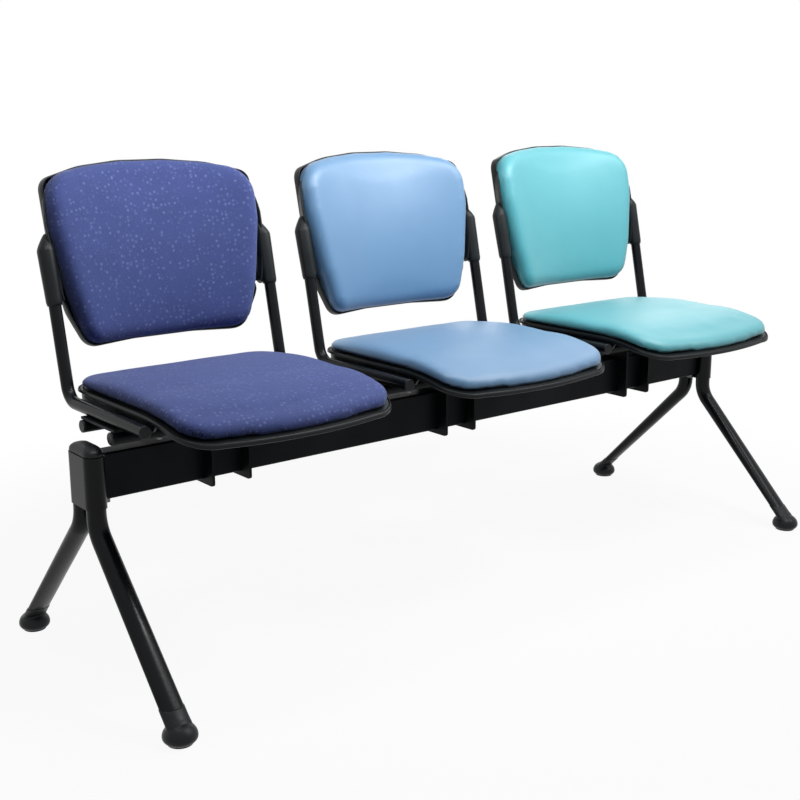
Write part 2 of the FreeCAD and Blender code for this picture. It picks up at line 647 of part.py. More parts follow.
def seat_pad_section(x):
    """Return the pad's closed section in the plane at x: flat underside, crowned top."""
    inward = max(0.0, SEAT_EDGE_ROUND - (SEAT_HALF_WIDTH - abs(x)))
    pull = SEAT_EDGE_ROUND - math.sqrt(max(SEAT_EDGE_ROUND ** 2 - inward ** 2, 4.0))
    front = front_edge(x)
    rear = rear_edge(x)
    crown = SEAT_SIDE_FALL * (x / SEAT_HALF_WIDTH) ** 2
    lift = 0.12 * pull
    top_knee = SEAT_CROWN_Z - crown - 0.7 * pull
    top_rear = SEAT_REAR_TOP_Z - 0.3 * crown - 0.35 * pull
    top_nose = underside_z(front + 16) + 23.0 - 0.55 * pull

    def at(y, z):
        return Vector(x, y, z)

    low_rear = at(rear - 2, SEAT_UNDERSIDE_Z + lift)
    low_knee = at(SEAT_KNEE_Y, SEAT_UNDERSIDE_Z + lift)
    low_middle_y = 0.5 * (SEAT_KNEE_Y + front + 2)
    low_middle = at(low_middle_y, underside_z(low_middle_y) + lift)
    low_front = at(front + 2, underside_z(front + 2) + lift)
    nose = at(front, 0.55 * low_front.z + 0.45 * top_nose - 1.0)
    high_front = at(front + 14, top_nose)
    high_knee = at(SEAT_KNEE_Y + 10, top_knee - 2.0)
    high_rear = at(rear - 12, top_rear)
    nose_slope = at(0.5 * (high_front.y + high_knee.y), 0.5 * (high_front.z + high_knee.z) + 6.5)
    crown_point = at(0.5 * (high_knee.y + high_rear.y) - 20, top_knee + 0.5)
    rear_point = at(rear, 0.5 * (low_rear.z + high_rear.z))
    return Part.Wire([
        Part.makeLine(low_rear, low_knee),
        Part.Arc(low_knee, low_middle, low_front).toShape(),
        Part.Arc(low_front, nose, high_front).toShape(),
        Part.Arc(high_front, nose_slope, high_knee).toShape(),
        Part.Arc(high_knee, crown_point, high_rear).toShape(),
        Part.Arc(high_rear, rear_point, low_rear).toShape(),
    ])


def make_seat_pad():
    """Upholstered seat cushion, crowned on top and drawn in at its edges, around its board."""
    stations = (205.0, 203.6, 199.5, 193.0, 184.0, 168.0, 135.0, 75.0, 0.0)
    places = [-x for x in stations] + [x for x in reversed(stations[:-1])]
    sections = [seat_pad_section(x * 0.9999) for x in places]
    cushion = Part.makeLoft(sections, True, False)
    board = seat_band(-4.0, SEAT_BOARD).common(seat_prism(-SEAT_BOARD_INSET))
    below = seat_band(-12.0, 0.0)
    return cushion.cut(board).cut(below)


# The backrest, built upright in its own frame and then leaned back


def lean_back(shape):
    """Return the shape moved from the backrest's own frame into the row's frame."""
    leaned = shape.copy()
    leaned.rotate(Vector(0, 0, 0), Vector(1, 0, 0), -BACK_LEAN_DEG)
    leaned.translate(Vector(0, BACK_ORIGIN_Y, BACK_ORIGIN_Z))
    return leaned


def back_shell_outline(inset):
    """Return the backrest shell's outline face in its own X-Z plane, moved in by inset."""
    bottom_arch = (62.0, -57.5 + inset)
    low_corner = (161.0 - inset, -65.5 + inset)
    flank = (195.5 - inset, 0.0)
    waist = (210.0 - inset, 135.0)
    top_corner = (211.5 - inset, 230.5 - inset)
    shoulder = (130.0, 254.0 - inset)
    top_arch = (46.0, 263.5 - inset)
    right = [bottom_arch, low_corner, flank, waist, top_corner, shoulder, top_arch]
    radii = [300.0, 34.0 - 0.5 * inset, 60.0, 60.0, 20.0, 190.0, 190.0]
    points = [Vector(x, 0, z) for x, z in right]
    points += [Vector(-x, 0, z) for x, z in reversed(right)]
    return Part.Face(rounded_outline(points, radii + list(reversed(radii))))


def back_prism(inset):
    """Return the prism through the backrest's outline, front to back."""
    face = back_shell_outline(inset)
    face.translate(Vector(0, -120, 0))
    return face.extrude(Vector(0, 260, 0))


def back_band(forward, rearward):
    """Return the curved slab between two distances in front of and behind the shell's face."""
    centre = Vector(0, BACK_MIDDLE_Y - BACK_RADIUS, -120)
    outer = Part.makeCylinder(BACK_RADIUS + rearward, 460, centre)
    inner = Part.makeCylinder(BACK_RADIUS - forward, 460, centre)
    return outer.cut(inner).common(box(-260, 260, -120, 140, -120, 340))


def back_screw_places():
    """Return where the back shell is screwed to the board, in the backrest's frame."""
    return [(x, z) for x in (-70.0, 70.0) for z in (10.0, 190.0)]


def back_face_y(x):
    """Return the y of the shell's front face at x, in the backrest's frame."""
    return BACK_MIDDLE_Y - BACK_RADIUS + math.sqrt(BACK_RADIUS ** 2 - x ** 2)


def pad_front_y(x):
    """Return the y from which the back pad's front is measured at x."""
    return BACK_MIDDLE_Y - BACK_PAD_RADIUS + math.sqrt(BACK_PAD_RADIUS ** 2 - x ** 2)


def sleeve_blank(x):
    """Return the solid of one sleeve: a round post with a drawn-in mouth and a tip at its top."""
    mouth = Part.makeCone(SLEEVE_MOUTH_RADIUS, SLEEVE_RADIUS, SLEEVE_MOUTH_HEIGHT, Vector(x, 0, SLEEVE_BOTTOM))
    tip_x = x - math.copysign(SLEEVE_TIP_SHIFT, x)
    shoulder_middle = Vector(x, SLEEVE_SHOULDER_SHIFT, SLEEVE_SHOULDER)
    foot = Part.Wire([Part.makeCircle(SLEEVE_RADIUS, Vector(x, 0, SLEEVE_BOTTOM + SLEEVE_MOUTH_HEIGHT))])
    shoulder = Part.Wire([Part.makeCircle(SLEEVE_SHOULDER_RADIUS, shoulder_middle)])
    tip = Part.Wire([Part.makeCircle(5.0, Vector(tip_x, 7.0, SLEEVE_TIP))])
    post = Part.makeLoft([foot, shoulder], True, True)
    return mouth.fuse([post, Part.makeLoft([shoulder, tip], True, True)])


def sleeve_web(side):
    """Return the block that joins one sleeve to the shell's edge."""
    inner, outer = sorted((side * 199.0, side * 213.0))
    return box(inner, outer, 4.0, 20.0, SLEEVE_BOTTOM + 11, SLEEVE_SHOULDER + 4)


def sleeve_wing(side):
    """Return the thin wing that rises from one sleeve and runs out into the shell's rim."""
    stations = [
        (19.0, 194.0, 20.0, 205.5, -2.0),
        (60.0, 199.0, 19.0, 212.0, -7.0),
        (110.0, 205.5, 17.0, 217.5, -9.0),
        (150.0, 206.0, 16.5, 220.0, -7.0),
        (178.0, 205.5, 16.5, 216.0, -3.0),
        (206.0, 204.5, 17.0, 209.5, 2.0),
    ]
    sections = []
    for z, rear_x, rear_y, front_x, front_y in stations:
        points = [
            Vector(side * rear_x, rear_y, z),
            Vector(side * (rear_x + 4.5), rear_y, z),
            Vector(side * front_x, front_y, z),
            Vector(side * (front_x - 4.5), front_y, z),
        ]
        sections.append(Part.makePolygon(points + [points[0]]))
    return Part.makeLoft(sections, True, True)


def make_back_shell():
    """Moulded rear shell with a raised rim and a blind sleeve on each side for the uprights."""
    skin = back_band(0.0, BACK_SHELL).common(back_prism(0.0))
    rim = back_band(BACK_RIM, 0.0).common(back_prism(0.0).cut(back_prism(4.0)))
    for side in (-1, 1):
        inner, outer = sorted((side * 185.0, side * 230.0))
        rim = rim.cut(box(inner, outer, -40, 40, SLEEVE_BOTTOM + 4, SLEEVE_TIP + 3))
    shell = skin.fuse(rim)
    for side in (-1, 1):
        web = sleeve_web(side)
        shell = shell.fuse(web.fuse([sleeve_blank(side * SIDE_TUBE_X), sleeve_wing(side)]))
    for side in (-1, 1):
        x = side * SIDE_TUBE_X
        shell = shell.cut(rod(x, 0, -80, SIDE_TUBE_RISE + 1.5, SIDE_TUBE_RADIUS + 0.15))
    for x, z in back_screw_places():
        shell = shell.cut(Part.makeCylinder(SCREW_RADIUS + 0.05, 30, Vector(x, 30, z), Vector(0, 1, 0)))
    return lean_back(shell)


def make_back_board():
    """Curved plywood board behind the back cushion's foam."""
    board = back_band(BACK_BOARD, 0.0).common(back_prism(24.0))
    for x, z in back_screw_places():
        board = board.cut(Part.makeCylinder(SCREW_RADIUS + 0.05, 60, Vector(x, back_face_y(x) - 6.5, z),
                                            Vector(0, 1, 0)))
    return lean_back(board)


def pad_half_outline(x):
    """Return the back pad's lowest and highest points at x, in the backrest's frame."""
    reach = abs(x)
    top_radius = 900.0
    top_start, top_fall = BACK_PAD_TOP_CORNER
    low_start, low_end, low_rise = BACK_PAD_LOW_CORNER
    top = BACK_PAD_TOP - top_radius + math.sqrt(top_radius ** 2 - min(reach, top_start) ** 2)
    top -= 0.1 * max(0.0, min(reach, top_start) - 105.0)
    if reach > top_start:
        corner = min((reach - top_start) / (BACK_PAD_HALF_WIDTH - top_start), 1.0)
        top -= top_fall * (1.0 - math.sqrt(1.0 - corner ** 2))
    bottom = -60.5 - 3.5 * (min(reach, low_start) / low_start) ** 2
    if reach > low_start:
        corner = min((reach - low_start) / (low_end - low_start), 1.0)
        bottom += low_rise * (1.0 - math.sqrt(1.0 - corner ** 2))
    if reach > low_end:
        bottom = BACK_PAD_FLANK_Z + (reach - low_end) * BACK_PAD_FLANK_SLOPE
    return bottom, top


def back_pad_section(x):
    """Return the back pad's closed upright section at x, crowned toward the sitter."""
    inward = max(0.0, BACK_PAD_EDGE_ROUND - (BACK_PAD_HALF_WIDTH - abs(x)))
    pull = BACK_PAD_EDGE_ROUND - math.sqrt(max(BACK_PAD_EDGE_ROUND ** 2 - inward ** 2, 9.0))
    bottom, top = pad_half_outline(x)
    face = back_face_y(x)
    front = pad_front_y(x)
    edge = BACK_PAD_EDGE - 0.55 * pull
    crown = BACK_PAD_THICKNESS - 0.0003 * x * x - 0.85 * pull
    crown = max(crown, edge + 1.2)
    draw = min(14.0, 0.12 * (top - bottom))

    def at(y, z):
        return Vector(x, y, z)

    rear_low = at(face, bottom + 2.5)
    rear_high = at(face, top - 2.5)
    front_high = at(front - edge, top - draw)
    front_low = at(front - edge, bottom + draw)
    waist = 0.5 * (face + front - edge)
    return Part.Wire([
        Part.makeLine(rear_low, rear_high),
        Part.Arc(rear_high, at(waist, top - 0.2 * draw), front_high).toShape(),
        Part.Arc(front_high, at(front - crown, 0.5 * (top + bottom)), front_low).toShape(),
        Part.Arc(front_low, at(waist, bottom + 0.2 * draw), rear_low).toShape(),
    ])


def make_back_pad():
    """Upholstered back cushion, crowned in front and drawn in at its edges, around its board."""
    stations = (209.0, 207.0, 202.0, 193.0, 181.0, 166.0, 146.0, 110.0, 60.0, 0.0)
    places = [-x for x in stations] + [x for x in reversed(stations[:-1])]
    sections = [back_pad_section(x) for x in places]
    cushion = Part.makeLoft(sections, True, False)
    board = back_band(BACK_BOARD, 6.0).common(back_prism(24.0))
    behind = back_band(0.0, 30.0)
    shell_rim = back_band(BACK_RIM + 0.2, 1.0).common(back_prism(-4.0).cut(back_prism(4.2)))
    cushion = cushion.cut(board).cut(behind).cut(shell_rim)
    for side in (-1, 1):
        cushion = cushion.cut(sleeve_web(side)).cut(sleeve_wing(side))
    return lean_back(cushion)


def make_fasteners():
    """All bolts and screws of one seat."""
    solids = []
    for x in (BRACKET_MIDDLE_X - 18.0, BRACKET_MIDDLE_X + 18.0):
        shank_bottom = BEAM_TOP + CLAMP_PLATE_THICKNESS
        shank = rod(x, 0, shank_bottom, BRACKET_WEB_TOP, BOLT_RADIUS)
        head = hexagon(x, 0, BRACKET_WEB_TOP, BRACKET_WEB_TOP + 5.3, HEX_WIDTH)
        solids.append(shank.fuse(head).removeSplitter())
    for x, y in shell_screw_places():
        low = CROSS_TUBE_Z - SIDE_TUBE_RADIUS
        shank = rod(x, y, low, SEAT_UNDERSIDE_Z + SEAT_BOARD - 1.5, SCREW_RADIUS)
        head = rod(x, y, low - 3.5, low, 5.5)
        solids.append(shank.fuse(head).removeSplitter())
    for x, z in back_screw_places():
        face = back_face_y(x)
        shank = Part.makeCylinder(SCREW_RADIUS, BACK_SHELL + 6.5, Vector(x, face - 6.0, z), Vector(0, 1, 0))
        head = Part.makeCylinder(4.8, 2.8, Vector(x, face + BACK_SHELL + 0.5, z), Vector(0, 1, 0))
        solids.append(lean_back(shank.fuse(head).removeSplitter()))
    return Part.makeCompound(solids)


def save_seat(name, middle_x):
    """Write every node of one seat, moved to its place along the beam."""
    side_tube = make_side_tube()
    nodes = {
        "seat_pad": make_seat_pad(),
        "seat_board": make_seat_board(),
        "seat_shell": make_seat_shell(),
        "back_pad": make_back_pad(),
        "back_board": make_back_board(),
        "back_shell": make_back_shell(),
        "side_tube_right": side_tube,
        "side_tube_left": mirrored(side_tube),
        "cross_tubes": make_cross_tubes(),
        "saddle_strips": make_strips(),
        "beam_bracket": make_bracket(),
        "clamp_plate": make_clamp_plate(),
        "tube_plugs": make_tube_plugs(),
        "fasteners": make_fasteners(),
    }
    for node, shape in nodes.items():
        placed = shape.copy()
        placed.translate(Vector(middle_x, 0, 0))
        save(node + "_" + name, placed)


def save_pair(node, shape):
    """Write a right-hand piece and its mirror image at the beam's other end."""
    save(node + "_right", shape)
    save(node + "_left", mirrored(shape))


def save_ends():
    """Write the beam, the leg heads, the legs and the feet."""
    save("beam", make_beam())
    save("leg_bolts", make_leg_bolts())
    save("foot_pads", make_foot_pads())
    save_pair("leg_head", make_leg_head())
    save_pair("leg_spigot", make_spigot())
    save_pair("leg_cap", make_leg_cap())
    front_leg = make_front_leg()
    front_foot = make_front_foot()
    rear_leg = front_leg.mirror(Vector(0, 0, 0), Vector(0, 1, 0))
    rear_foot = front_foot.mirror(Vector(0, 0, 0), Vector(0, 1, 0))
    save_pair("leg_front", front_leg)
    save_pair("leg_rear", rear_leg)
    save_pair("foot_front", front_foot)
    save_pair("foot_rear", rear_foot)


def main():
    """Write one file for every node of the row."""
    os.makedirs("parts", exist_ok=True)
    save_ends()
    for index, name in enumerate(SEAT_NAMES):
        save_seat(name, (index - 1) * SEAT_PITCH)


main()
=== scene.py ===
"""Beam seating: three upholstered seats on a steel beam with splayed tubular legs."""

import json
import logging
import math
from collections.abc import Iterable, Iterator
from contextlib import contextmanager
from dataclasses import dataclass, field
from enum import Enum

import bmesh
import bpy
import numpy as np
from mathutils import Matrix, Vector

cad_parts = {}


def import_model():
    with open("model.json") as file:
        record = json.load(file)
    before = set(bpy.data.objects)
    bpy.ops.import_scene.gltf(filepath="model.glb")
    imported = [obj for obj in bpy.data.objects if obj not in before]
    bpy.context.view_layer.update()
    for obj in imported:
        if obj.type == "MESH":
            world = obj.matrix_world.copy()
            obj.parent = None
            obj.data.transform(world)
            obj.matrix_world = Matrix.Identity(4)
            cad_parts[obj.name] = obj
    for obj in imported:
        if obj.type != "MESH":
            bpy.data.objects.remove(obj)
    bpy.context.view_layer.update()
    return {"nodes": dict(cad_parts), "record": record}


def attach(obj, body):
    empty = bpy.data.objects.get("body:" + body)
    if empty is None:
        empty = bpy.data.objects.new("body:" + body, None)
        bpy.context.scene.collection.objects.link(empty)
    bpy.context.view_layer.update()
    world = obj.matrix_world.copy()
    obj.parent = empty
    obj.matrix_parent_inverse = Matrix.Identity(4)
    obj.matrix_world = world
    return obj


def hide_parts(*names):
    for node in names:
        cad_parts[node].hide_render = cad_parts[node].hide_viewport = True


log = logging.getLogger("beam_seating")

Colour = tuple[float, float, float, float]
Point = tuple[float, float, float]

SEAT_NAMES = ("left", "middle", "right")
SEAT_PITCH = 0.536
BACK_LEAN = math.radians(12.3)
BACK_ORIGIN = Vector((0.0, 0.1697, 0.616))
WHITE = (1.0, 1.0, 1.0, 1.0)
DOUBLES_GAP = 0.00002


# Working with meshes


def deselect_all() -> None:
    """Leave nothing selected, so that an operator acts only on what is chosen next."""
    for obj in bpy.context.selected_objects:
        obj.select_set(False)


def choose(obj: bpy.types.Object) -> None:
    """Make one object the only selected and the active one.

    Args:
        obj: The object that the next operators act on.
    """
    deselect_all()
    obj.select_set(True)
    bpy.context.view_layer.objects.active = obj


def named(name: str) -> bpy.types.Object:
    """Give the newly added primitive its name.

    Args:
        name: The name of the object and of its mesh.

    Returns:
        The active object, which is then the only one selected.
    """
    obj = bpy.context.active_object
    obj.name = name
    obj.data.name = name
    choose(obj)
    return obj


@contextmanager
def editing(obj: bpy.types.Object) -> Iterator[None]:
    """Work on an object in edit mode, with all of its mesh selected at first.

    Args:
        obj: The object to edit.

    Returns:
        A context that ends back in object mode.
    """
    choose(obj)
    bpy.ops.object.mode_set(mode="EDIT")
    bpy.ops.mesh.select_all(action="SELECT")
    yield
    bpy.ops.object.mode_set(mode="OBJECT")


def points_of(obj: bpy.types.Object) -> np.ndarray:
    """Read an object's vertices.

    Args:
        obj: A mesh object.

    Returns:
        An array of one row of x, y, z for each vertex.
    """
    values = np.empty(len(obj.data.vertices) * 3, np.float64)
    obj.data.vertices.foreach_get("co", values)
    return values.reshape(-1, 3)


def set_points(obj: bpy.types.Object, points: np.ndarray) -> None:
    """Write an object's vertices back.

    Args:
        obj: A mesh object.
        points: One row of x, y, z for each vertex.
    """
    obj.data.vertices.foreach_set("co", np.ascontiguousarray(points, np.float64).ravel())
    obj.data.update()


def shift(obj: bpy.types.Object, offset: Point) -> None:
    """Move a mesh's points while its object stays at the origin.

    Args:
        obj: A mesh object.
        offset: The move in metres.
    """
    set_points(obj, points_of(obj) + np.array(offset))


def settle(obj: bpy.types.Object) -> bpy.types.Object:
    """Put the object's place, turn and scale into its mesh.

    Args:
        obj: A mesh object.

    Returns:
        The same object, at the origin.
    """
    choose(obj)
    bpy.ops.object.transform_apply(location=True, rotation=True, scale=True)
    return obj


def twin(source: bpy.types.Object, name: str, offset: Point = (0.0, 0.0, 0.0)) -> bpy.types.Object:
    """Copy a piece with a mesh of its own.

    Args:
        source: The piece to copy.
        name: The copy's name.
        offset: How far the copy's mesh is moved, in metres.

    Returns:
        The copy, linked to the scene.
    """
    obj = bpy.data.objects.new(name, source.data.copy())
    obj.data.name = name
    bpy.context.scene.collection.objects.link(obj)
    shift(obj, offset)
    return obj


def apply_modifiers(obj: bpy.types.Object) -> None:
    """Apply every modifier of an object in order.

    Args:
        obj: The object to finish.
    """
    choose(obj)
    for modifier in list(obj.modifiers):
        bpy.ops.object.modifier_apply(modifier=modifier.name)


def smooth_by_angle(obj: bpy.types.Object, degrees: float = 32.0) -> None:
    """Shade an object smooth except over sharp edges.

    Args:
        obj: The object to shade.
        degrees: The angle past which an edge stays sharp.
    """
    choose(obj)
    bpy.ops.object.shade_smooth_by_angle(angle=math.radians(degrees))


def coat(obj: bpy.types.Object, finish: bpy.types.Material) -> None:
    """Make a finish the only material of a piece.

    Args:
        obj: The piece.
        finish: Its material.
    """
    obj.data.materials.clear()
    obj.data.materials.append(finish)


def declare(piece: bpy.types.Object, node: str) -> None:
    """Say which node a finished piece stands for.

    Args:
        piece: The finished piece.
        node: The node of the frame that it replaces.
    """
    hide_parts(node)
    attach(piece, "root")
    log.info("%s stands for %s", piece.name, node)


def place_on_seats(master: bpy.types.Object, name: str, node: str) -> None:
    """Copy a piece of the middle seat to all three and declare each copy.

    Args:
        master: The piece in the middle seat's place.
        name: The start of the copies' names.
        node: The start of the names of the nodes that they stand for.
    """
    for index, seat in enumerate(SEAT_NAMES):
        offset = ((index - 1) * SEAT_PITCH, 0.0, 0.0)
        piece = master if seat == "middle" else twin(master, f"{name}_{seat}", offset)
        piece.name = f"{name}_{seat}"
        declare(piece, f"{node}_{seat}")


def solid_copy(node: str, name: str) -> bpy.types.Object:
    """Copy a soft solid of the frame and join its loose triangles.

    Args:
        node: The node to copy.
        name: The name of the copy.

    Returns:
        The copy as one connected mesh.
    """
    obj = twin(bpy.data.objects[node], name)
    obj.data.materials.clear()
    with editing(obj):
        bpy.ops.mesh.remove_doubles(threshold=DOUBLES_GAP)
        bpy.ops.mesh.normals_make_consistent(inside=False)
    return obj


def leaned(points: np.ndarray) -> np.ndarray:
    """Turn points from the backrest's upright frame into the row's frame.

    Args:
        points: One row of x, y, z for each point, in metres.

    Returns:
        The same points leaned back and moved to the uprights.
    """
    turn = np.array(Matrix.Rotation(-BACK_LEAN, 3, "X"))
    return points @ turn.T + np.array(BACK_ORIGIN)


# Writing node trees


class NodeSheet:
    """Writes nodes into one node tree and links them."""

    def __init__(self, tree: bpy.types.NodeTree) -> None:
        """Start on an empty tree.

        Args:
            tree: The material's or group's node tree.
        """
        self.tree = tree
        self.tree.nodes.clear()
        self.column = 0

    def add(self, kind: str, **settings: object) -> bpy.types.Node:
        """Add one node.

        Args:
            kind: The node's type name.
            **settings: Properties to set on it.

        Returns:
            The new node.
        """
        node = self.tree.nodes.new(kind)
        node.location = (self.column * 180, 0)
        self.column += 1
        for key, value in settings.items():
            setattr(node, key, value)
        return node

    def feed(self, target: bpy.types.NodeSocket, value: object) -> None:
        """Link a socket to a target, or set the target's value.

        Args:
            target: The input to feed.
            value: An output socket, or a plain value.
        """
        if isinstance(value, bpy.types.NodeSocket):
            self.tree.links.new(value, target)
        elif value is not None:
            target.default_value = value

    def fill(self, node: bpy.types.Node, values: dict[str, object]) -> None:
        """Feed several inputs of one node.

        Args:
            node: The node.
            values: For each input's name, an output socket or a plain value.
        """
        for label, value in values.items():
            self.feed(node.inputs[label], value)

    def math(self, operation: str, a: object, b: object = None, c: object = None) -> bpy.types.NodeSocket:
        """Add a Math node.

        Args:
            operation: The Math operation.
            a: First value or socket.
            b: Second value or socket.
            c: Third value or socket.

        Returns:
            The node's output.
        """
        node = self.add("ShaderNodeMath", operation=operation)
        for place, value in enumerate((a, b, c)):
            if value is not None:
                self.feed(node.inputs[place], value)
        return node.outputs[0]

    def blend(self, share: object, first: object, second: object) -> bpy.types.NodeSocket:
        """Mix two colours.

        Args:
            share: How much of the second colour shows.
            first: The first colour or socket.
            second: The second colour or socket.

        Returns:
            The mixed colour.
        """
        node = self.add("ShaderNodeMix", data_type="RGBA")
        self.feed(node.inputs[0], share)
        self.feed(node.inputs[6], first)
        self.feed(node.inputs[7], second)
        return node.outputs[2]

    def ramp(self, value: bpy.types.NodeSocket, low: float, high: float,
             out_low: float = 0.0, out_high: float = 1.0) -> bpy.types.NodeSocket:
        """Map one range smoothly on another.

        Args:
            value: The value to map.
            low: Where the range starts.
            high: Where the range ends.
            out_low: The result at the start.
            out_high: The result at the end.

        Returns:
            The mapped value.
        """
        node = self.add("ShaderNodeMapRange", interpolation_type="SMOOTHSTEP")
        self.feed(node.inputs[0], value)
        for place, number in enumerate((low, high, out_low, out_high), start=1):
            self.feed(node.inputs[place], number)
        return node.outputs[0]

    def noise(self, vector: object, scale: object, detail: float,
              roughness: float = 0.5) -> bpy.types.NodeSocket:
        """Add a noise texture.

        Args:
            vector: Where the noise is read.
            scale: Its scale in features per metre, or a socket.
            detail: How many octaves it has.
            roughness: How strong the fine octaves are.

        Returns:
            The noise value.
        """
        node = self.add("ShaderNodeTexNoise")
        self.fill(node, {"Vector": vector, "Scale": scale, "Detail": detail, "Roughness": roughness})
        return node.outputs[0]

    def bump(self, height: object, strength: float, distance: float) -> bpy.types.NodeSocket:
        """Turn a height into a normal.

        Args:
            height: The height socket.
            strength: The bump's strength.
            distance: The height's real size in metres.

        Returns:
            The normal.
        """
        node = self.add("ShaderNodeBump")
        self.fill(node, {"Strength": strength, "Distance": distance, "Height": height})
        return node.outputs[0]


    def white(self, kind: str, strength: float) -> bpy.types.NodeSocket:
        """Add a white shader that gives light of its own.

        Args:
            kind: The shader's type name, a Background or an Emission.
            strength: How bright it is.

        Returns:
            The shader.
        """
        node = self.add(kind)
        self.fill(node, {"Color": WHITE, "Strength": strength})
        return node.outputs[0]

    def either(self, share: object, first: object, second: object, output: str) -> None:
        """Mix two shaders and send them to the tree's output.

        Args:
            share: How much of the second shader shows.
            first: The first shader.
            second: The second shader.
            output: The output node's type name.
        """
        node = self.add("ShaderNodeMixShader")
        for place, value in enumerate((share, first, second)):
            self.feed(node.inputs[place], value)
        self.feed(self.add(output).inputs[0], node.outputs[0])


class SurfaceGroup:
    """A shader node group with named inputs and outputs that materials share."""

    def __init__(self, name: str, inputs: dict[str, tuple[str, float]],
                 outputs: dict[str, str]) -> None:
        """Make the group and its sockets.

        Args:
            name: The group's name.
            inputs: For each input, its socket type and default number.
            outputs: For each output, its socket type.
        """
        self.tree = bpy.data.node_groups.new(name, "ShaderNodeTree")
        for label, (kind, value) in inputs.items():
            socket = self.tree.interface.new_socket(label, in_out="INPUT", socket_type=kind)
            if kind == "NodeSocketFloat":
                socket.default_value = value
        for label, kind in outputs.items():
            self.tree.interface.new_socket(label, in_out="OUTPUT", socket_type=kind)
        self.sheet = NodeSheet(self.tree)
        self.inside = self.sheet.add("NodeGroupInput").outputs
        self.result = self.sheet.add("NodeGroupOutput").inputs

    def place(self, sheet: NodeSheet, **values: object) -> bpy.types.NodeOutputs:
        """Use the group in a material.

        Args:
            sheet: The material's sheet.
            **values: The group's input names and what feeds them.

        Returns:
            The outputs of the placed group.
        """
        node = sheet.add("ShaderNodeGroup")
        node.node_tree = self.tree
        sheet.fill(node, values)
        return node.outputs

    def put_out(self, **values: bpy.types.NodeSocket) -> None:
        """Feed the group's outputs.

        Args:
            **values: The output names and what feeds them.
        """
        for label, value in values.items():
            self.sheet.feed(self.result[label], value)


FLOAT = "NodeSocketFloat"
VECTOR = "NodeSocketVector"


def make_pebbled_skin() -> SurfaceGroup:
    """Build the fine pebbled skin of powder coat and moulded plastic.

    Returns:
        The group, with a height and a slow cloudy mask.
    """
    group = SurfaceGroup(
        "pebbled_skin",
        {"Vector": (VECTOR, 0.0), "Grain": (FLOAT, 900.0), "Cloud": (FLOAT, 14.0)},
        {"Height": FLOAT, "Mask": FLOAT},
    )
    sheet = group.sheet
    cells = sheet.add("ShaderNodeTexVoronoi", feature="SMOOTH_F1")
    sheet.fill(cells, {"Vector": group.inside["Vector"], "Scale": group.inside["Grain"], "Smoothness": 0.7})
    cloud = sheet.noise(group.inside["Vector"], group.inside["Cloud"], 4.0)
    group.put_out(Height=cells.outputs["Distance"], Mask=sheet.ramp(cloud, 0.35, 0.65))
    return group


def make_weave() -> SurfaceGroup:
    """Build a plain weave of two crossing thread directions.

    Returns:
        The group, with a thread height and a mask of the raised threads.
    """
    group = SurfaceGroup(
        "plain_weave",
        {"Vector": (VECTOR, 0.0), "Threads": (FLOAT, 520.0), "Slub": (FLOAT, 60.0)},
        {"Height": FLOAT, "Raised": FLOAT},
    )
    sheet = group.sheet
    wander = sheet.noise(group.inside["Vector"], 140.0, 2.0)
    split = sheet.add("ShaderNodeSeparateXYZ")
    sheet.feed(split.inputs[0], group.inside["Vector"])
    waves = []
    for axis in (0, 1):
        along = sheet.math("MULTIPLY_ADD", split.outputs[axis], group.inside["Threads"],
                           sheet.math("MULTIPLY", wander, 1.6))
        turns = sheet.math("MULTIPLY", along, 2.0 * math.pi)
        waves.append(sheet.math("SINE", turns))
    height = sheet.math("MULTIPLY_ADD", sheet.math("MULTIPLY", waves[0], waves[1]), 0.5, 0.5)
    slub = sheet.noise(group.inside["Vector"], group.inside["Slub"], 5.0)
    group.put_out(Height=sheet.math("MULTIPLY", height, slub), Raised=sheet.ramp(height, 0.35, 0.8))
    return group


def make_flecks() -> SurfaceGroup:
    """Build small loose pale flecks, like short ends of a lighter yarn.

    Returns:
        The group, with a mask of the flecks.
    """
    group = SurfaceGroup(
        "scattered_flecks",
        {"Vector": (VECTOR, 0.0), "Spacing": (FLOAT, 112.0), "Size": (FLOAT, 0.27)},
        {"Mask": FLOAT},
    )
    sheet = group.sheet
    cells = sheet.add("ShaderNodeTexVoronoi", feature="F1")
    spacing = group.inside["Spacing"]
    sheet.fill(cells, {"Vector": group.inside["Vector"], "Scale": spacing, "Randomness": 0.75})
    near = sheet.math("SUBTRACT", group.inside["Size"], cells.outputs["Distance"])
    spot = sheet.ramp(near, -0.14, 0.14)
    pick = sheet.add("ShaderNodeSeparateColor")
    sheet.feed(pick.inputs[0], cells.outputs["Color"])
    strength = sheet.ramp(pick.outputs[0], 0.15, 0.7, 0.25, 1.0)
    group.put_out(Mask=sheet.math("MULTIPLY", spot, strength))
    return group


def make_hide_grain() -> SurfaceGroup:
    """Build the fine creased grain of upholstery vinyl.

    Returns:
        The group, with a height and a mask of slow shade changes.
    """
    group = SurfaceGroup(
        "vinyl_grain",
        {"Vector": (VECTOR, 0.0), "Grain": (FLOAT, 420.0), "Cloud": (FLOAT, 9.0)},
        {"Height": FLOAT, "Mask": FLOAT},
    )
    sheet = group.sheet
    cells = sheet.add("ShaderNodeTexVoronoi", feature="DISTANCE_TO_EDGE")
    sheet.fill(cells, {"Vector": group.inside["Vector"], "Scale": group.inside["Grain"]})
    crease = sheet.ramp(cells.outputs["Distance"], 0.0, 0.18)
    cloud = sheet.noise(group.inside["Vector"], group.inside["Cloud"], 3.0)
    group.put_out(Height=crease, Mask=sheet.ramp(cloud, 0.3, 0.7))
    return group


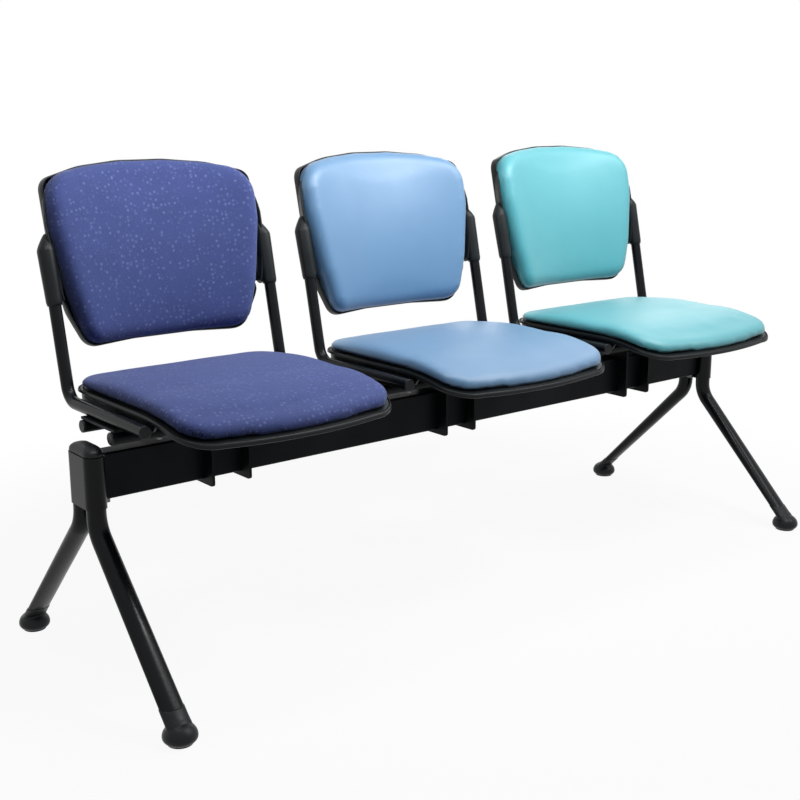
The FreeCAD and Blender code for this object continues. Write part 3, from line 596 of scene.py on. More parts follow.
@dataclass
class Effects:
    """The node groups that the finishes share."""

    skin: SurfaceGroup = field(default_factory=make_pebbled_skin)
    weave: SurfaceGroup = field(default_factory=make_weave)
    flecks: SurfaceGroup = field(default_factory=make_flecks)
    grain: SurfaceGroup = field(default_factory=make_hide_grain)


class Finish:
    """What every finish has in common: a material with one main shader."""

    name: str

    def start(self) -> tuple[bpy.types.Material, NodeSheet, bpy.types.Node, bpy.types.NodeSocket]:
        """Make the empty material.

        Returns:
            The material, its sheet, its main shader and the object coordinates.
        """
        material = bpy.data.materials.new(self.name)
        material.use_nodes = True
        sheet = NodeSheet(material.node_tree)
        shader = sheet.add("ShaderNodeBsdfPrincipled")
        sheet.feed(sheet.add("ShaderNodeOutputMaterial").inputs["Surface"], shader.outputs[0])
        place = sheet.add("ShaderNodeTexCoord").outputs["Object"]
        return material, sheet, shader, place

    def make(self, effects: Effects) -> bpy.types.Material:
        """Build the material.

        Args:
            effects: The shared node groups.

        Returns:
            The material.
        """
        raise NotImplementedError


@dataclass(frozen=True)
class CoatedSkin(Finish):
    """Pebbled hard surfaces: powder coat, moulded plastic, rubber and oxidised steel."""

    name: str
    colour: Colour
    worn: Colour
    roughness: float = 0.4
    roughness_spread: float = 0.1
    specular: float = 0.4
    metallic: float = 0.0
    grain: float = 900.0
    bump: float = 0.6
    depth: float = 0.00004

    def make(self, effects: Effects) -> bpy.types.Material:
        """Build the material.

        Args:
            effects: The shared node groups.

        Returns:
            The material.
        """
        material, sheet, shader, place = self.start()
        skin = effects.skin.place(sheet, Vector=place, Grain=self.grain)
        roughest = self.roughness + self.roughness_spread
        sheet.fill(shader, {
            "Base Color": sheet.blend(skin["Mask"], self.colour, self.worn),
            "Roughness": sheet.ramp(skin["Mask"], 0.0, 1.0, self.roughness, roughest),
            "Specular IOR Level": self.specular,
            "Metallic": self.metallic,
            "Normal": sheet.bump(skin["Height"], self.bump, self.depth),
        })
        return material


@dataclass(frozen=True)
class WovenCloth(Finish):
    """Woven upholstery cloth with pale flecks."""

    name: str
    colour: Colour
    shade: Colour
    fleck: Colour
    turn: float = 0.0
    raised_share: float = 0.3
    fleck_share: float = 0.30
    specular: float = 0.25
    sheen: float = 0.34
    sheen_roughness: float = 0.55
    sheen_tint: Colour = (0.60, 0.68, 0.97, 1.0)
    bump: float = 0.5
    depth: float = 0.0004

    def make(self, effects: Effects) -> bpy.types.Material:
        """Build the material.

        Args:
            effects: The shared node groups.

        Returns:
            The material.
        """
        material, sheet, shader, place = self.start()
        lay = sheet.add("ShaderNodeMapping")
        sheet.fill(lay, {"Vector": place, "Rotation": (self.turn, 0.0, 0.0)})
        weave = effects.weave.place(sheet, Vector=lay.outputs[0])
        flecks = effects.flecks.place(sheet, Vector=place)
        cloud = sheet.ramp(sheet.noise(place, 26.0, 4.0), 0.3, 0.7)
        body = sheet.blend(cloud, self.colour, self.shade)
        raised = sheet.math("MULTIPLY", weave["Raised"], self.raised_share)
        flecked = sheet.math("MULTIPLY", flecks["Mask"], self.fleck_share)
        sheet.fill(shader, {
            "Base Color": sheet.blend(flecked, sheet.blend(raised, body, self.fleck), self.fleck),
            "Roughness": sheet.ramp(weave["Height"], 0.0, 1.0, 0.82, 0.68),
            "Specular IOR Level": self.specular,
            "Sheen Weight": self.sheen,
            "Sheen Roughness": self.sheen_roughness,
            "Sheen Tint": self.sheen_tint,
            "Normal": sheet.bump(weave["Height"], self.bump, self.depth),
        })
        return material


@dataclass(frozen=True)
class Vinyl(Finish):
    """Smooth upholstery vinyl with a fine grain."""

    name: str
    colour: Colour
    shade: Colour
    roughness: float = 0.48
    roughness_spread: float = 0.07
    specular: float = 0.9
    coat: float = 0.40
    coat_roughness: float = 0.5
    sheen: float = 0.30
    sheen_roughness: float = 0.5
    bump: float = 0.35
    depth: float = 0.00012

    def make(self, effects: Effects) -> bpy.types.Material:
        """Build the material.

        Args:
            effects: The shared node groups.

        Returns:
            The material.
        """
        material, sheet, shader, place = self.start()
        grain = effects.grain.place(sheet, Vector=place)
        roughest = self.roughness + self.roughness_spread
        sheet.fill(shader, {
            "Base Color": sheet.blend(grain["Mask"], self.colour, self.shade),
            "Roughness": sheet.ramp(grain["Mask"], 0.0, 1.0, self.roughness, roughest),
            "Specular IOR Level": self.specular,
            "Coat Weight": self.coat,
            "Coat Roughness": self.coat_roughness,
            "Sheen Weight": self.sheen,
            "Sheen Roughness": self.sheen_roughness,
            "Normal": sheet.bump(grain["Height"], self.bump, self.depth),
        })
        return material


@dataclass(frozen=True)
class Plywood(Finish):
    """Bent beech plywood with a soft grain."""

    name: str
    light: Colour
    dark: Colour
    bump: float = 0.3
    depth: float = 0.0002

    def make(self, effects: Effects) -> bpy.types.Material:
        """Build the material.

        Args:
            effects: The shared node groups.

        Returns:
            The material.
        """
        material, sheet, shader, place = self.start()
        stretch = sheet.add("ShaderNodeMapping")
        sheet.fill(stretch, {"Vector": place, "Scale": (1.0, 9.0, 9.0)})
        figure = sheet.ramp(sheet.noise(stretch.outputs[0], 30.0, 6.0, 0.6), 0.35, 0.7)
        sheet.fill(shader, {
            "Base Color": sheet.blend(figure, self.light, self.dark),
            "Roughness": sheet.ramp(figure, 0.0, 1.0, 0.5, 0.65),
            "Normal": sheet.bump(figure, self.bump, self.depth),
        })
        return material


# The finishes of this row

COAT_BLACK = (0.0045, 0.0055, 0.0075, 1)
COAT_WORN = (0.0065, 0.0075, 0.0095, 1)
POWDER_COAT = CoatedSkin("satin_black_powder_coat", COAT_BLACK, COAT_WORN,
                         roughness=0.23, roughness_spread=0.06, specular=0.14)
MATT_COAT = CoatedSkin("matt_black_powder_coat", COAT_BLACK, COAT_WORN,
                       roughness=0.46, roughness_spread=0.08, specular=0.09)
MATT_NODES = ("beam", "clamp_plate", "cross_tubes", "saddle_strips")
MOULDED_SHELL = CoatedSkin("moulded_black_shell", (0.0085, 0.0110, 0.0125, 1), (0.0115, 0.0145, 0.0160, 1),
                           roughness=0.36, roughness_spread=0.08, specular=0.18, grain=1300.0, depth=0.00003)
MOULDED_TRIM = CoatedSkin("moulded_black_trim", (0.0065, 0.0080, 0.0100, 1), (0.0095, 0.0110, 0.0130, 1),
                          roughness=0.36, roughness_spread=0.1, specular=0.22, grain=1100.0)
NON_SLIP = CoatedSkin("non_slip_rubber", (0.010, 0.010, 0.011, 1), (0.016, 0.016, 0.017, 1),
                      roughness=0.75, specular=0.2)
BLACK_STEEL = CoatedSkin("blackened_steel", (0.10, 0.10, 0.11, 1), (0.15, 0.15, 0.16, 1),
                         roughness=0.4, metallic=1.0, grain=1500.0, depth=0.00002)
PLYWOOD = Plywood("bent_plywood", (0.50, 0.35, 0.20, 1), (0.36, 0.23, 0.12, 1))
INDIGO = (0.023, 0.041, 0.194, 1)
INDIGO_SHADE = (0.018, 0.034, 0.170, 1)
FLECK_BLUE = (0.27, 0.34, 0.68, 1)
SEAT_CLOTH = WovenCloth("indigo_cloth_seat", INDIGO, INDIGO_SHADE, FLECK_BLUE)
BACK_CLOTH = WovenCloth("indigo_cloth_back", INDIGO, INDIGO_SHADE, FLECK_BLUE,
                        turn=math.radians(90.0) - BACK_LEAN)
BLUE_VINYL = Vinyl("sky_blue_vinyl", (0.088, 0.242, 0.445, 1), (0.082, 0.228, 0.425, 1))
TURQUOISE_VINYL = Vinyl("turquoise_vinyl", (0.060, 0.400, 0.460, 1), (0.054, 0.380, 0.440, 1))


@dataclass(frozen=True)
class SoftBox:
    """A rectangular lamp: its place, the point that it faces, its size in metres and its power in watts."""

    name: str
    at: Point
    towards: Point
    size: tuple[float, float]
    power: float

    def hang(self) -> None:
        """Add the lamp to the scene."""
        data = bpy.data.lights.new(self.name, "AREA")
        data.shape = "RECTANGLE"
        data.size, data.size_y = self.size
        data.energy = self.power
        lamp = bpy.data.objects.new(self.name, data)
        lamp.location = self.at
        facing = Vector(self.towards) - Vector(self.at)
        lamp.rotation_euler = facing.to_track_quat("-Z", "Y").to_euler()
        bpy.context.scene.collection.objects.link(lamp)


SOFT_BOXES = (
    SoftBox("top_strip", (0.05, -0.17, 1.34), (0.05, 0.15, 0.8), (2.2, 0.20), 10.5),
    SoftBox("key", (0.5, -1.0, 2.0), (-0.2, -0.1, 0.4), (0.6, 0.3), 15.0),
    SoftBox("right_front", (1.7, -1.6, 2.0), (0.2, 0.0, 0.6), (0.7, 0.7), 12.5),
    SoftBox("right_rear", (2.2, 1.6, 1.6), (0.2, 0.0, 0.5), (1.6, 1.6), 12.0),
    SoftBox("rim", (-2.4, 1.8, 1.7), (-0.3, 0.1, 0.6), (1.0, 1.6), 2.0),
)


@dataclass(frozen=True)
class Studio:
    """The white studio: camera, lamps, floor and background."""

    frame_px: float = 800.0
    focal_px: float = 1241.98
    principal_px: tuple[float, float] = (399.53, 397.08)
    sensor: float = 36.0
    position: Point = (-1.622154, -1.867112, 0.964397)
    yaw: float = math.radians(38.6566)
    pitch: float = math.radians(13.2758)
    roll: float = math.radians(-0.2021)
    ambient: float = 0.06
    floor_size: float = 30.0
    floor_paint: float = 0.86
    floor_bounce: float = 0.08
    shadow_reach: tuple[float, float] = (0.9, 1.7)
    shadow_share: float = 0.07

    def place_camera(self) -> None:
        """Put the camera where the photograph was taken from."""
        data = bpy.data.cameras.new("camera")
        data.sensor_width = self.sensor
        data.lens = self.sensor * self.focal_px / self.frame_px
        data.shift_x = (0.5 * self.frame_px - 0.5 - self.principal_px[0]) / self.frame_px
        data.shift_y = (self.principal_px[1] - 0.5 * self.frame_px + 0.5) / self.frame_px
        camera = bpy.data.objects.new("camera", data)
        forward = Vector((math.sin(self.yaw) * math.cos(self.pitch),
                          math.cos(self.yaw) * math.cos(self.pitch), -math.sin(self.pitch)))
        right = Vector((math.cos(self.yaw), -math.sin(self.yaw), 0.0))
        up = right.cross(forward)
        level_right = right * math.cos(self.roll) + up * math.sin(self.roll)
        level_up = up * math.cos(self.roll) - right * math.sin(self.roll)
        turn = Matrix((level_right, level_up, -forward)).transposed()
        camera.matrix_world = Matrix.Translation(self.position) @ turn.to_4x4()
        bpy.context.scene.collection.objects.link(camera)
        bpy.context.scene.camera = camera

    def background(self) -> None:
        """Make the world white to the camera and in reflections, and dimmer as a light."""
        world = bpy.data.worlds.new("white_studio")
        bpy.context.scene.world = world
        world.use_nodes = True
        sheet = NodeSheet(world.node_tree)
        seen = self.shown(sheet, sheet.add("ShaderNodeLightPath"))
        dim = sheet.white("ShaderNodeBackground", self.ambient)
        bright = sheet.white("ShaderNodeBackground", 1.0)
        sheet.either(seen, dim, bright, "ShaderNodeOutputWorld")

    def shown(self, sheet: NodeSheet, ray: bpy.types.Node) -> bpy.types.NodeSocket:
        """Tell where the camera, a reflection or a clear material sees the backdrop.

        Args:
            sheet: The material's sheet.
            ray: Its Light Path node.

        Returns:
            1 on such a ray and 0 on the others.
        """
        mirrored = sheet.math("MAXIMUM", ray.outputs["Is Glossy Ray"], ray.outputs["Is Transmission Ray"])
        return sheet.math("MAXIMUM", ray.outputs["Is Camera Ray"], mirrored)

    def lay_floor(self) -> None:
        """Lay a wide white floor that keeps a pale shadow under the row."""
        deselect_all()
        bpy.ops.mesh.primitive_plane_add(size=self.floor_size, location=(0.0, 0.0, 0.0))
        floor = named("studio_floor")
        material = bpy.data.materials.new("white_floor")
        material.use_nodes = True
        sheet = NodeSheet(material.node_tree)
        length = sheet.add("ShaderNodeVectorMath", operation="LENGTH")
        sheet.feed(length.inputs[0], sheet.add("ShaderNodeTexCoord").outputs["Object"])
        far = sheet.ramp(length.outputs["Value"], *self.shadow_reach, 1.0 - self.shadow_share, 1.0)
        ray = sheet.add("ShaderNodeLightPath")
        share = sheet.math("MULTIPLY", self.shown(sheet, ray), far)
        paper = sheet.add("ShaderNodeBsdfDiffuse")
        paint = (self.floor_paint, self.floor_paint, self.floor_paint, 1.0)
        bounce = (self.floor_bounce, self.floor_bounce, self.floor_bounce, 1.0)
        sheet.feed(paper.inputs["Color"], sheet.blend(ray.outputs["Is Diffuse Ray"], paint, bounce))
        glow = sheet.white("ShaderNodeEmission", 1.0)
        sheet.either(share, paper.outputs[0], glow, "ShaderNodeOutputMaterial")
        coat(floor, material)

    def build(self) -> None:
        """Set up the whole studio."""
        self.place_camera()
        for lamp in SOFT_BOXES:
            lamp.hang()
        self.background()
        self.lay_floor()
        bpy.context.scene.view_settings.view_transform = "Standard"


# Shaping primitives


def rounded_path(corners: list[tuple[float, float]], radii: list[float], step: float = 0.012) -> np.ndarray:
    """Walk round a polygon whose corners are rounded.

    Args:
        corners: The polygon's corners, counter-clockwise.
        radii: The radius at each corner.
        step: The longest distance between two points, in metres.

    Returns:
        One row of two coordinates for each point of the closed path.
    """
    path: list[np.ndarray] = []
    count = len(corners)
    points = [np.array(corner, float) for corner in corners]
    for index, radius in enumerate(radii):
        corner = points[index]
        before = points[index - 1] - corner
        after = points[(index + 1) % count] - corner
        before /= np.linalg.norm(before)
        after /= np.linalg.norm(after)
        half = 0.5 * math.acos(float(np.clip(before @ after, -1.0, 1.0)))
        reach = radius / math.tan(half)
        middle = corner + (before + after) / np.linalg.norm(before + after) * radius / math.sin(half)
        start = corner + before * reach - middle
        sweep = math.pi - 2.0 * half
        side = -1.0 if before[0] * after[1] - before[1] * after[0] > 0.0 else 1.0
        pieces = max(2, math.ceil(sweep * radius / step), math.ceil(sweep / math.radians(9.0)))
        for place in range(pieces + 1):
            angle = side * sweep * place / pieces
            turn = np.array([[math.cos(angle), -math.sin(angle)], [math.sin(angle), math.cos(angle)]])
            path.append(middle + turn @ start)
    evened: list[np.ndarray] = []
    for index, point in enumerate(path):
        following = path[(index + 1) % len(path)]
        gap = float(np.linalg.norm(following - point))
        if gap < 1e-6:
            continue
        parts = max(1, math.ceil(gap / step))
        evened.extend(point + (following - point) * place / parts for place in range(parts))
    return np.array(evened)


def outward_of(path: np.ndarray) -> np.ndarray:
    """Find the outward direction at each point of a counter-clockwise closed path.

    Args:
        path: One row of two coordinates for each point.

    Returns:
        One unit vector for each point.
    """
    along = np.roll(path, -1, axis=0) - np.roll(path, 1, axis=0)
    along /= np.linalg.norm(along, axis=1, keepdims=True)
    return np.stack([along[:, 1], -along[:, 0]], axis=1)


class Ends(Enum):
    """How a swept skin is closed, by the fill of the circle that it starts from."""

    CAPPED = "NGON"
    BRIDGED = "NOTHING"


def swept(name: str, loops: list[np.ndarray], ends: Ends = Ends.CAPPED) -> bpy.types.Object:
    """Draw a circle out through one loop after another.

    Args:
        name: The piece's name.
        loops: The loops, each with one row of x, y, z for each of its points.
        ends: Whether the first and the last loop are capped, or bridged so that they make a ring.

    Returns:
        The closed mesh, with its normals outward.
    """
    deselect_all()
    bpy.ops.mesh.primitive_circle_add(vertices=len(loops[0]), radius=0.1, fill_type=ends.value)
    obj = named(name)
    set_points(obj, loops[0])
    with editing(obj):
        mesh = bmesh.from_edit_mesh(obj.data)
        station = mesh.verts.layers.int.new("station")
        for index, vertex in enumerate(mesh.verts):
            vertex[station] = index
        bmesh.update_edit_mesh(obj.data)
        for loop in loops[1:]:
            bpy.ops.mesh.extrude_region_move()
            mesh = bmesh.from_edit_mesh(obj.data)
            station = mesh.verts.layers.int["station"]
            for vertex in mesh.verts:
                if vertex.select:
                    vertex.co = loop[vertex[station]]
            bmesh.update_edit_mesh(obj.data)
        if ends is Ends.BRIDGED:
            bpy.ops.mesh.select_mode(type="EDGE")
            bpy.ops.mesh.select_all(action="DESELECT")
            bpy.ops.mesh.select_non_manifold()
            bpy.ops.mesh.bridge_edge_loops()
            bpy.ops.mesh.select_mode(type="VERT")
        bpy.ops.mesh.select_all(action="SELECT")
        bpy.ops.mesh.normals_make_consistent(inside=False)
    return obj


def sliced_sheet(name: str, path: np.ndarray, cuts: tuple[int, int]) -> bpy.types.Object:
    """Fill a flat outline and slice it both ways, so that it can be curved.

    Args:
        name: The piece's name.
        path: The outline in the X-Y plane.
        cuts: How many slices are made across X and across Y.

    Returns:
        The flat sheet.
    """
    deselect_all()
    bpy.ops.mesh.primitive_circle_add(vertices=len(path), radius=0.1, fill_type="NGON")
    sheet = named(name)
    set_points(sheet, np.column_stack([path, np.zeros(len(path))]))
    with editing(sheet):
        for axis, count in enumerate(cuts):
            low = float(path[:, axis].min())
            high = float(path[:, axis].max())
            normal = (1.0, 0.0, 0.0) if axis == 0 else (0.0, 1.0, 0.0)
            for place in range(1, count):
                at = low + (high - low) * place / count
                bpy.ops.mesh.select_all(action="SELECT")
                bpy.ops.mesh.bisect(plane_co=tuple(at * value for value in normal), plane_no=normal)
        bpy.ops.mesh.select_all(action="SELECT")
        bpy.ops.mesh.normals_make_consistent(inside=False)
    return sheet


def joined(pieces: list[bpy.types.Object], name: str) -> bpy.types.Object:
    """Join pieces into one object.

    Args:
        pieces: The pieces to join.
        name: The name of the result.

    Returns:
        The joined object.
    """
    deselect_all()
    for piece in pieces:
        piece.select_set(True)
    bpy.context.view_layer.objects.active = pieces[0]
    bpy.ops.object.join()
    return named(name)


def soften_edges(obj: bpy.types.Object, width: float, segments: int = 2, degrees: float = 35.0) -> None:
    """Round an object's sharp edges.

    Args:
        obj: The object.
        width: The bevel's width in metres.
        segments: The bevel's segments.
        degrees: The angle from which an edge is rounded.
    """
    bevel = obj.modifiers.new("soft_edges", "BEVEL")
    bevel.width = width
    bevel.segments = segments
    bevel.limit_method = "ANGLE"
    bevel.angle_limit = math.radians(degrees)
    bevel.use_clamp_overlap = True
    apply_modifiers(obj)


def block(name: str, low: Point, high: Point, bevel: float) -> bpy.types.Object:
    """Add a cube at its size and place and round its edges.

    Args:
        name: The piece's name.
        low: Its lowest corner.
        high: Its highest corner.
        bevel: The edges' radius in metres.

    Returns:
        The rounded block.
    """
    deselect_all()
    middle = [0.5 * (a + b) for a, b in zip(low, high)]
    size = [b - a for a, b in zip(low, high)]
    bpy.ops.mesh.primitive_cube_add(size=1.0, location=middle, scale=size)
    obj = settle(named(name))
    soften_edges(obj, bevel)
    return obj


def eased(value: np.ndarray | float, low: float, high: float) -> np.ndarray | float:
    """Rise smoothly from 0 to 1 between two values.

    Args:
        value: The value or values.
        low: Where the rise starts.
        high: Where the rise ends.

    Returns:
        The eased value or values.
    """
    share = np.clip((value - low) / (high - low), 0.0, 1.0)
    return share * share * (3.0 - 2.0 * share)


# The moulded and metal pieces


@dataclass
class SeatForm:
    """The curved surface that the seat's board, shell and cushion share."""

    underside: float = 0.485
    knee_y: float = -0.100
    drop_radius: float = 0.525
    half_width: float = 0.205
    front_crown: float = 0.0025
    corner_sag: float = 0.0040

    def height(self, x: np.ndarray, y: np.ndarray) -> np.ndarray:
        """Give the height of the cushion's underside.

        Args:
            x: Distances from the seat's middle.
            y: Places from front to rear.

        Returns:
            The heights in metres.
        """
        run = np.maximum(self.knee_y - y, 0.0)
        drop = self.drop_radius - np.sqrt(self.drop_radius ** 2 - run ** 2)
        return self.underside - drop + self.lift(x, y)

    def lift(self, x: np.ndarray, y: np.ndarray) -> np.ndarray:
        """Give how far the front edge arches up in its middle and sags at its corners.

        Args:
            x: Distances from the seat's middle.
            y: Places from front to rear.

        Returns:
            The lifts in metres.
        """
        near_front = eased(-y, 0.12, 0.26)
        return near_front * (self.front_crown - self.corner_sag * (x / self.half_width) ** 2)


@dataclass
class SeatShell:
    """The moulded under-shell of a seat, with a groove under the cushion's edge and a rounded lip."""

    form: SeatForm
    half_width: float = 0.205
    rear: float = 0.165
    front: float = -0.271
    bow: float = 0.013
    rear_corner: float = 0.054
    front_corner: float = 0.059
    skin: float = 0.004
    tuck: float = 0.003
    recess: float = 0.0005
    bite: float = 0.002
    lip: float = 0.007
    side_lip: float = 0.004
    bead: float = 0.0048
    bead_flattening: float = 0.45
    flat_bead_y: tuple[float, float] = (0.060, 0.125)
    skirt_front: float = -0.150
    skirt_rear: float = 0.151
    skirt_corner: float = 0.022
    skirt_bottom: float = 0.458
    rib_place: tuple[float, float] = (0.150, 0.130)
    rib_end: float = 0.140
    rib_half: float = 0.0015
    rib_depth: float = 0.014
    rib_edge: float = 0.0006
    screw_x: float = 0.150
    cross_tube_y: float = 0.053
    cross_tube_z: float = 0.4375
    cross_tube_radius: float = 0.011
    boss_radius: float = 0.0135
    boss_foot: float = 0.010
    boss_spread: float = 0.25
    boss_edge: float = 0.0012

    def plan(self, grow: float) -> np.ndarray:
        """Give the seat's plan outline.

        Args:
            grow: How far it is moved outward; the sides move less.

        Returns:
            The closed outline.
        """
        half = self.half_width + min(grow, self.side_lip)
        side_front = self.front + self.bow - grow
        rear = self.rear + grow
        corners = [(half, rear), (-half, rear), (-half, side_front), (half, side_front)]
        rear_corner = self.rear_corner + grow
        front_corner = self.front_corner + grow
        path = rounded_path(corners, [rear_corner, rear_corner, front_corner, front_corner], 0.010)
        reach = half - front_corner
        across = np.clip(np.abs(path[:, 0]) / reach, 0.0, 1.0)
        bowed = (path[:, 1] < side_front + 0.004) * self.bow * (1.0 - across ** 2)
        path[:, 1] -= bowed
        return path

    def ring(self) -> bpy.types.Object:
        """Sweep the lip's section round the seat.

        Returns:
            The lip.
        """
        section = [
            (-0.006, -0.0005), (0.0012, -0.0005), (0.0022, -0.0028), (0.0038, -0.0030),
            (0.0046, -0.0012), (0.0054, 0.0), (0.0066, -0.0004), (0.0074, -0.0020),
            (0.0076, -0.0045), (0.0072, -0.0072), (0.0060, -0.0084), (0.0046, -0.0082),
            (0.0038, -0.0066), (0.0024, -0.0048), (-0.006, -0.0042),
        ]
        base = self.plan(0.0)
        away = outward_of(base)
        narrow = np.clip(np.abs(away[:, 0]) ** 3, 0.0, 1.0)
        narrowing = 1.0 - narrow * (1.0 - self.side_lip / self.lip)
        flattening = 1.0 - self.bead_flattening * eased(base[:, 1], *self.flat_bead_y)
        loops = []
        for out, rise in section:
            reach = out * (narrowing if out > 0.0 else np.ones(len(base)))
            low = rise * (flattening if rise < -self.bead else 1.0)
            spot = base + away * reach[:, None]
            loops.append(np.column_stack([spot, self.form.height(spot[:, 0], spot[:, 1]) + low]))
        return swept("seat_lip", loops, Ends.BRIDGED)

    def plate(self) -> bpy.types.Object:
        """Make the dished skin inside the lip.

        Returns:
            The skin with its thickness.
        """
        sheet = sliced_sheet("seat_skin", self.plan(-self.tuck), (10, 22))
        points = points_of(sheet)
        points[:, 2] = self.form.height(points[:, 0], points[:, 1]) - self.recess
        set_points(sheet, points)
        wall = sheet.modifiers.new("wall", "SOLIDIFY")
        wall.thickness = self.skin - self.recess
        wall.offset = -1.0
        apply_modifiers(sheet)
        return sheet

    def underside_parts(self) -> list[bpy.types.Object]:
        """Add the skirts, ribs and screw bosses under the skin.

        Returns:
            The parts.
        """
        parts = []
        top = self.form.underside - self.bite
        low = top - self.rib_depth
        half = self.rib_half
        rib_x, rib_y = self.rib_place
        for side in (-1.0, 1.0):
            parts.append(self.skirt(side, top))
            parts.append(block("seat_rib", (side * rib_x - half, -self.rib_end, low),
                               (side * rib_x + half, self.rib_end, top), self.rib_edge))
            parts.append(block("seat_rib", (-rib_x, side * rib_y - half, low),
                               (rib_x, side * rib_y + half, top), self.rib_edge))
            for place in (-1.0, 1.0):
                parts.append(self.boss(side * self.screw_x, place * self.cross_tube_y, top))
        return parts

    def skirt(self, side: float, top: float) -> bpy.types.Object:
        """Draw one hanging wall along the shell's side and round its rear corner.

        Args:
            side: -1 for the left wall and 1 for the right one.
            top: The height where it joins the skin.

        Returns:
            The wall.
        """
        base = self.plan(-self.tuck)
        away = outward_of(base)
        along = (base[:, 0] < 0.0) & (base[:, 1] > self.skirt_front) & (base[:, 1] < self.skirt_rear)
        loops = []
        for spot, out in zip(base[along], away[along]):
            run = max(0.0, self.skirt_corner - (spot[1] - self.skirt_front))
            low = self.skirt_bottom + self.skirt_corner - math.sqrt(self.skirt_corner ** 2 - run ** 2)
            section = [(0.002, top), (-0.002, top), (-0.002, low + 0.001), (-0.001, low), (0.001, low),
                       (0.002, low + 0.001)]
            loops.append(np.array([[-side * (spot[0] + out[0] * reach), spot[1] + out[1] * reach, height]
                                   for reach, height in section]))
        return swept("seat_skirt", loops)

    def boss(self, x: float, y: float, top: float) -> bpy.types.Object:
        """Make one boss that sits on a cross tube.

        Args:
            x: Its place along the beam.
            y: Its place from front to rear.
            top: The height where it joins the skin.

        Returns:
            The tapered boss.
        """
        deselect_all()
        seat = self.cross_tube_z + self.cross_tube_radius
        bpy.ops.mesh.primitive_cylinder_add(vertices=28, radius=self.boss_radius, depth=top - seat,
                                            location=(x, y, 0.5 * (top + seat)))
        boss = settle(named("seat_boss"))
        points = points_of(boss)
        wide = (points[:, 2] > seat + self.boss_foot)[:, None]
        centre = np.array([x, y])
        points[:, :2] = centre + (points[:, :2] - centre) * (1.0 + self.boss_spread * wide)
        set_points(boss, points)
        soften_edges(boss, self.boss_edge)
        return boss

    def build(self, finish: bpy.types.Material) -> None:
        """Make the three shells and put each in its place.

        Args:
            finish: The shell's material.
        """
        shell = joined([self.ring(), self.plate()] + self.underside_parts(), "seat_shell_form")
        smooth_by_angle(shell, 40.0)
        coat(shell, finish)
        place_on_seats(shell, "seat_shell_moulding", "seat_shell")


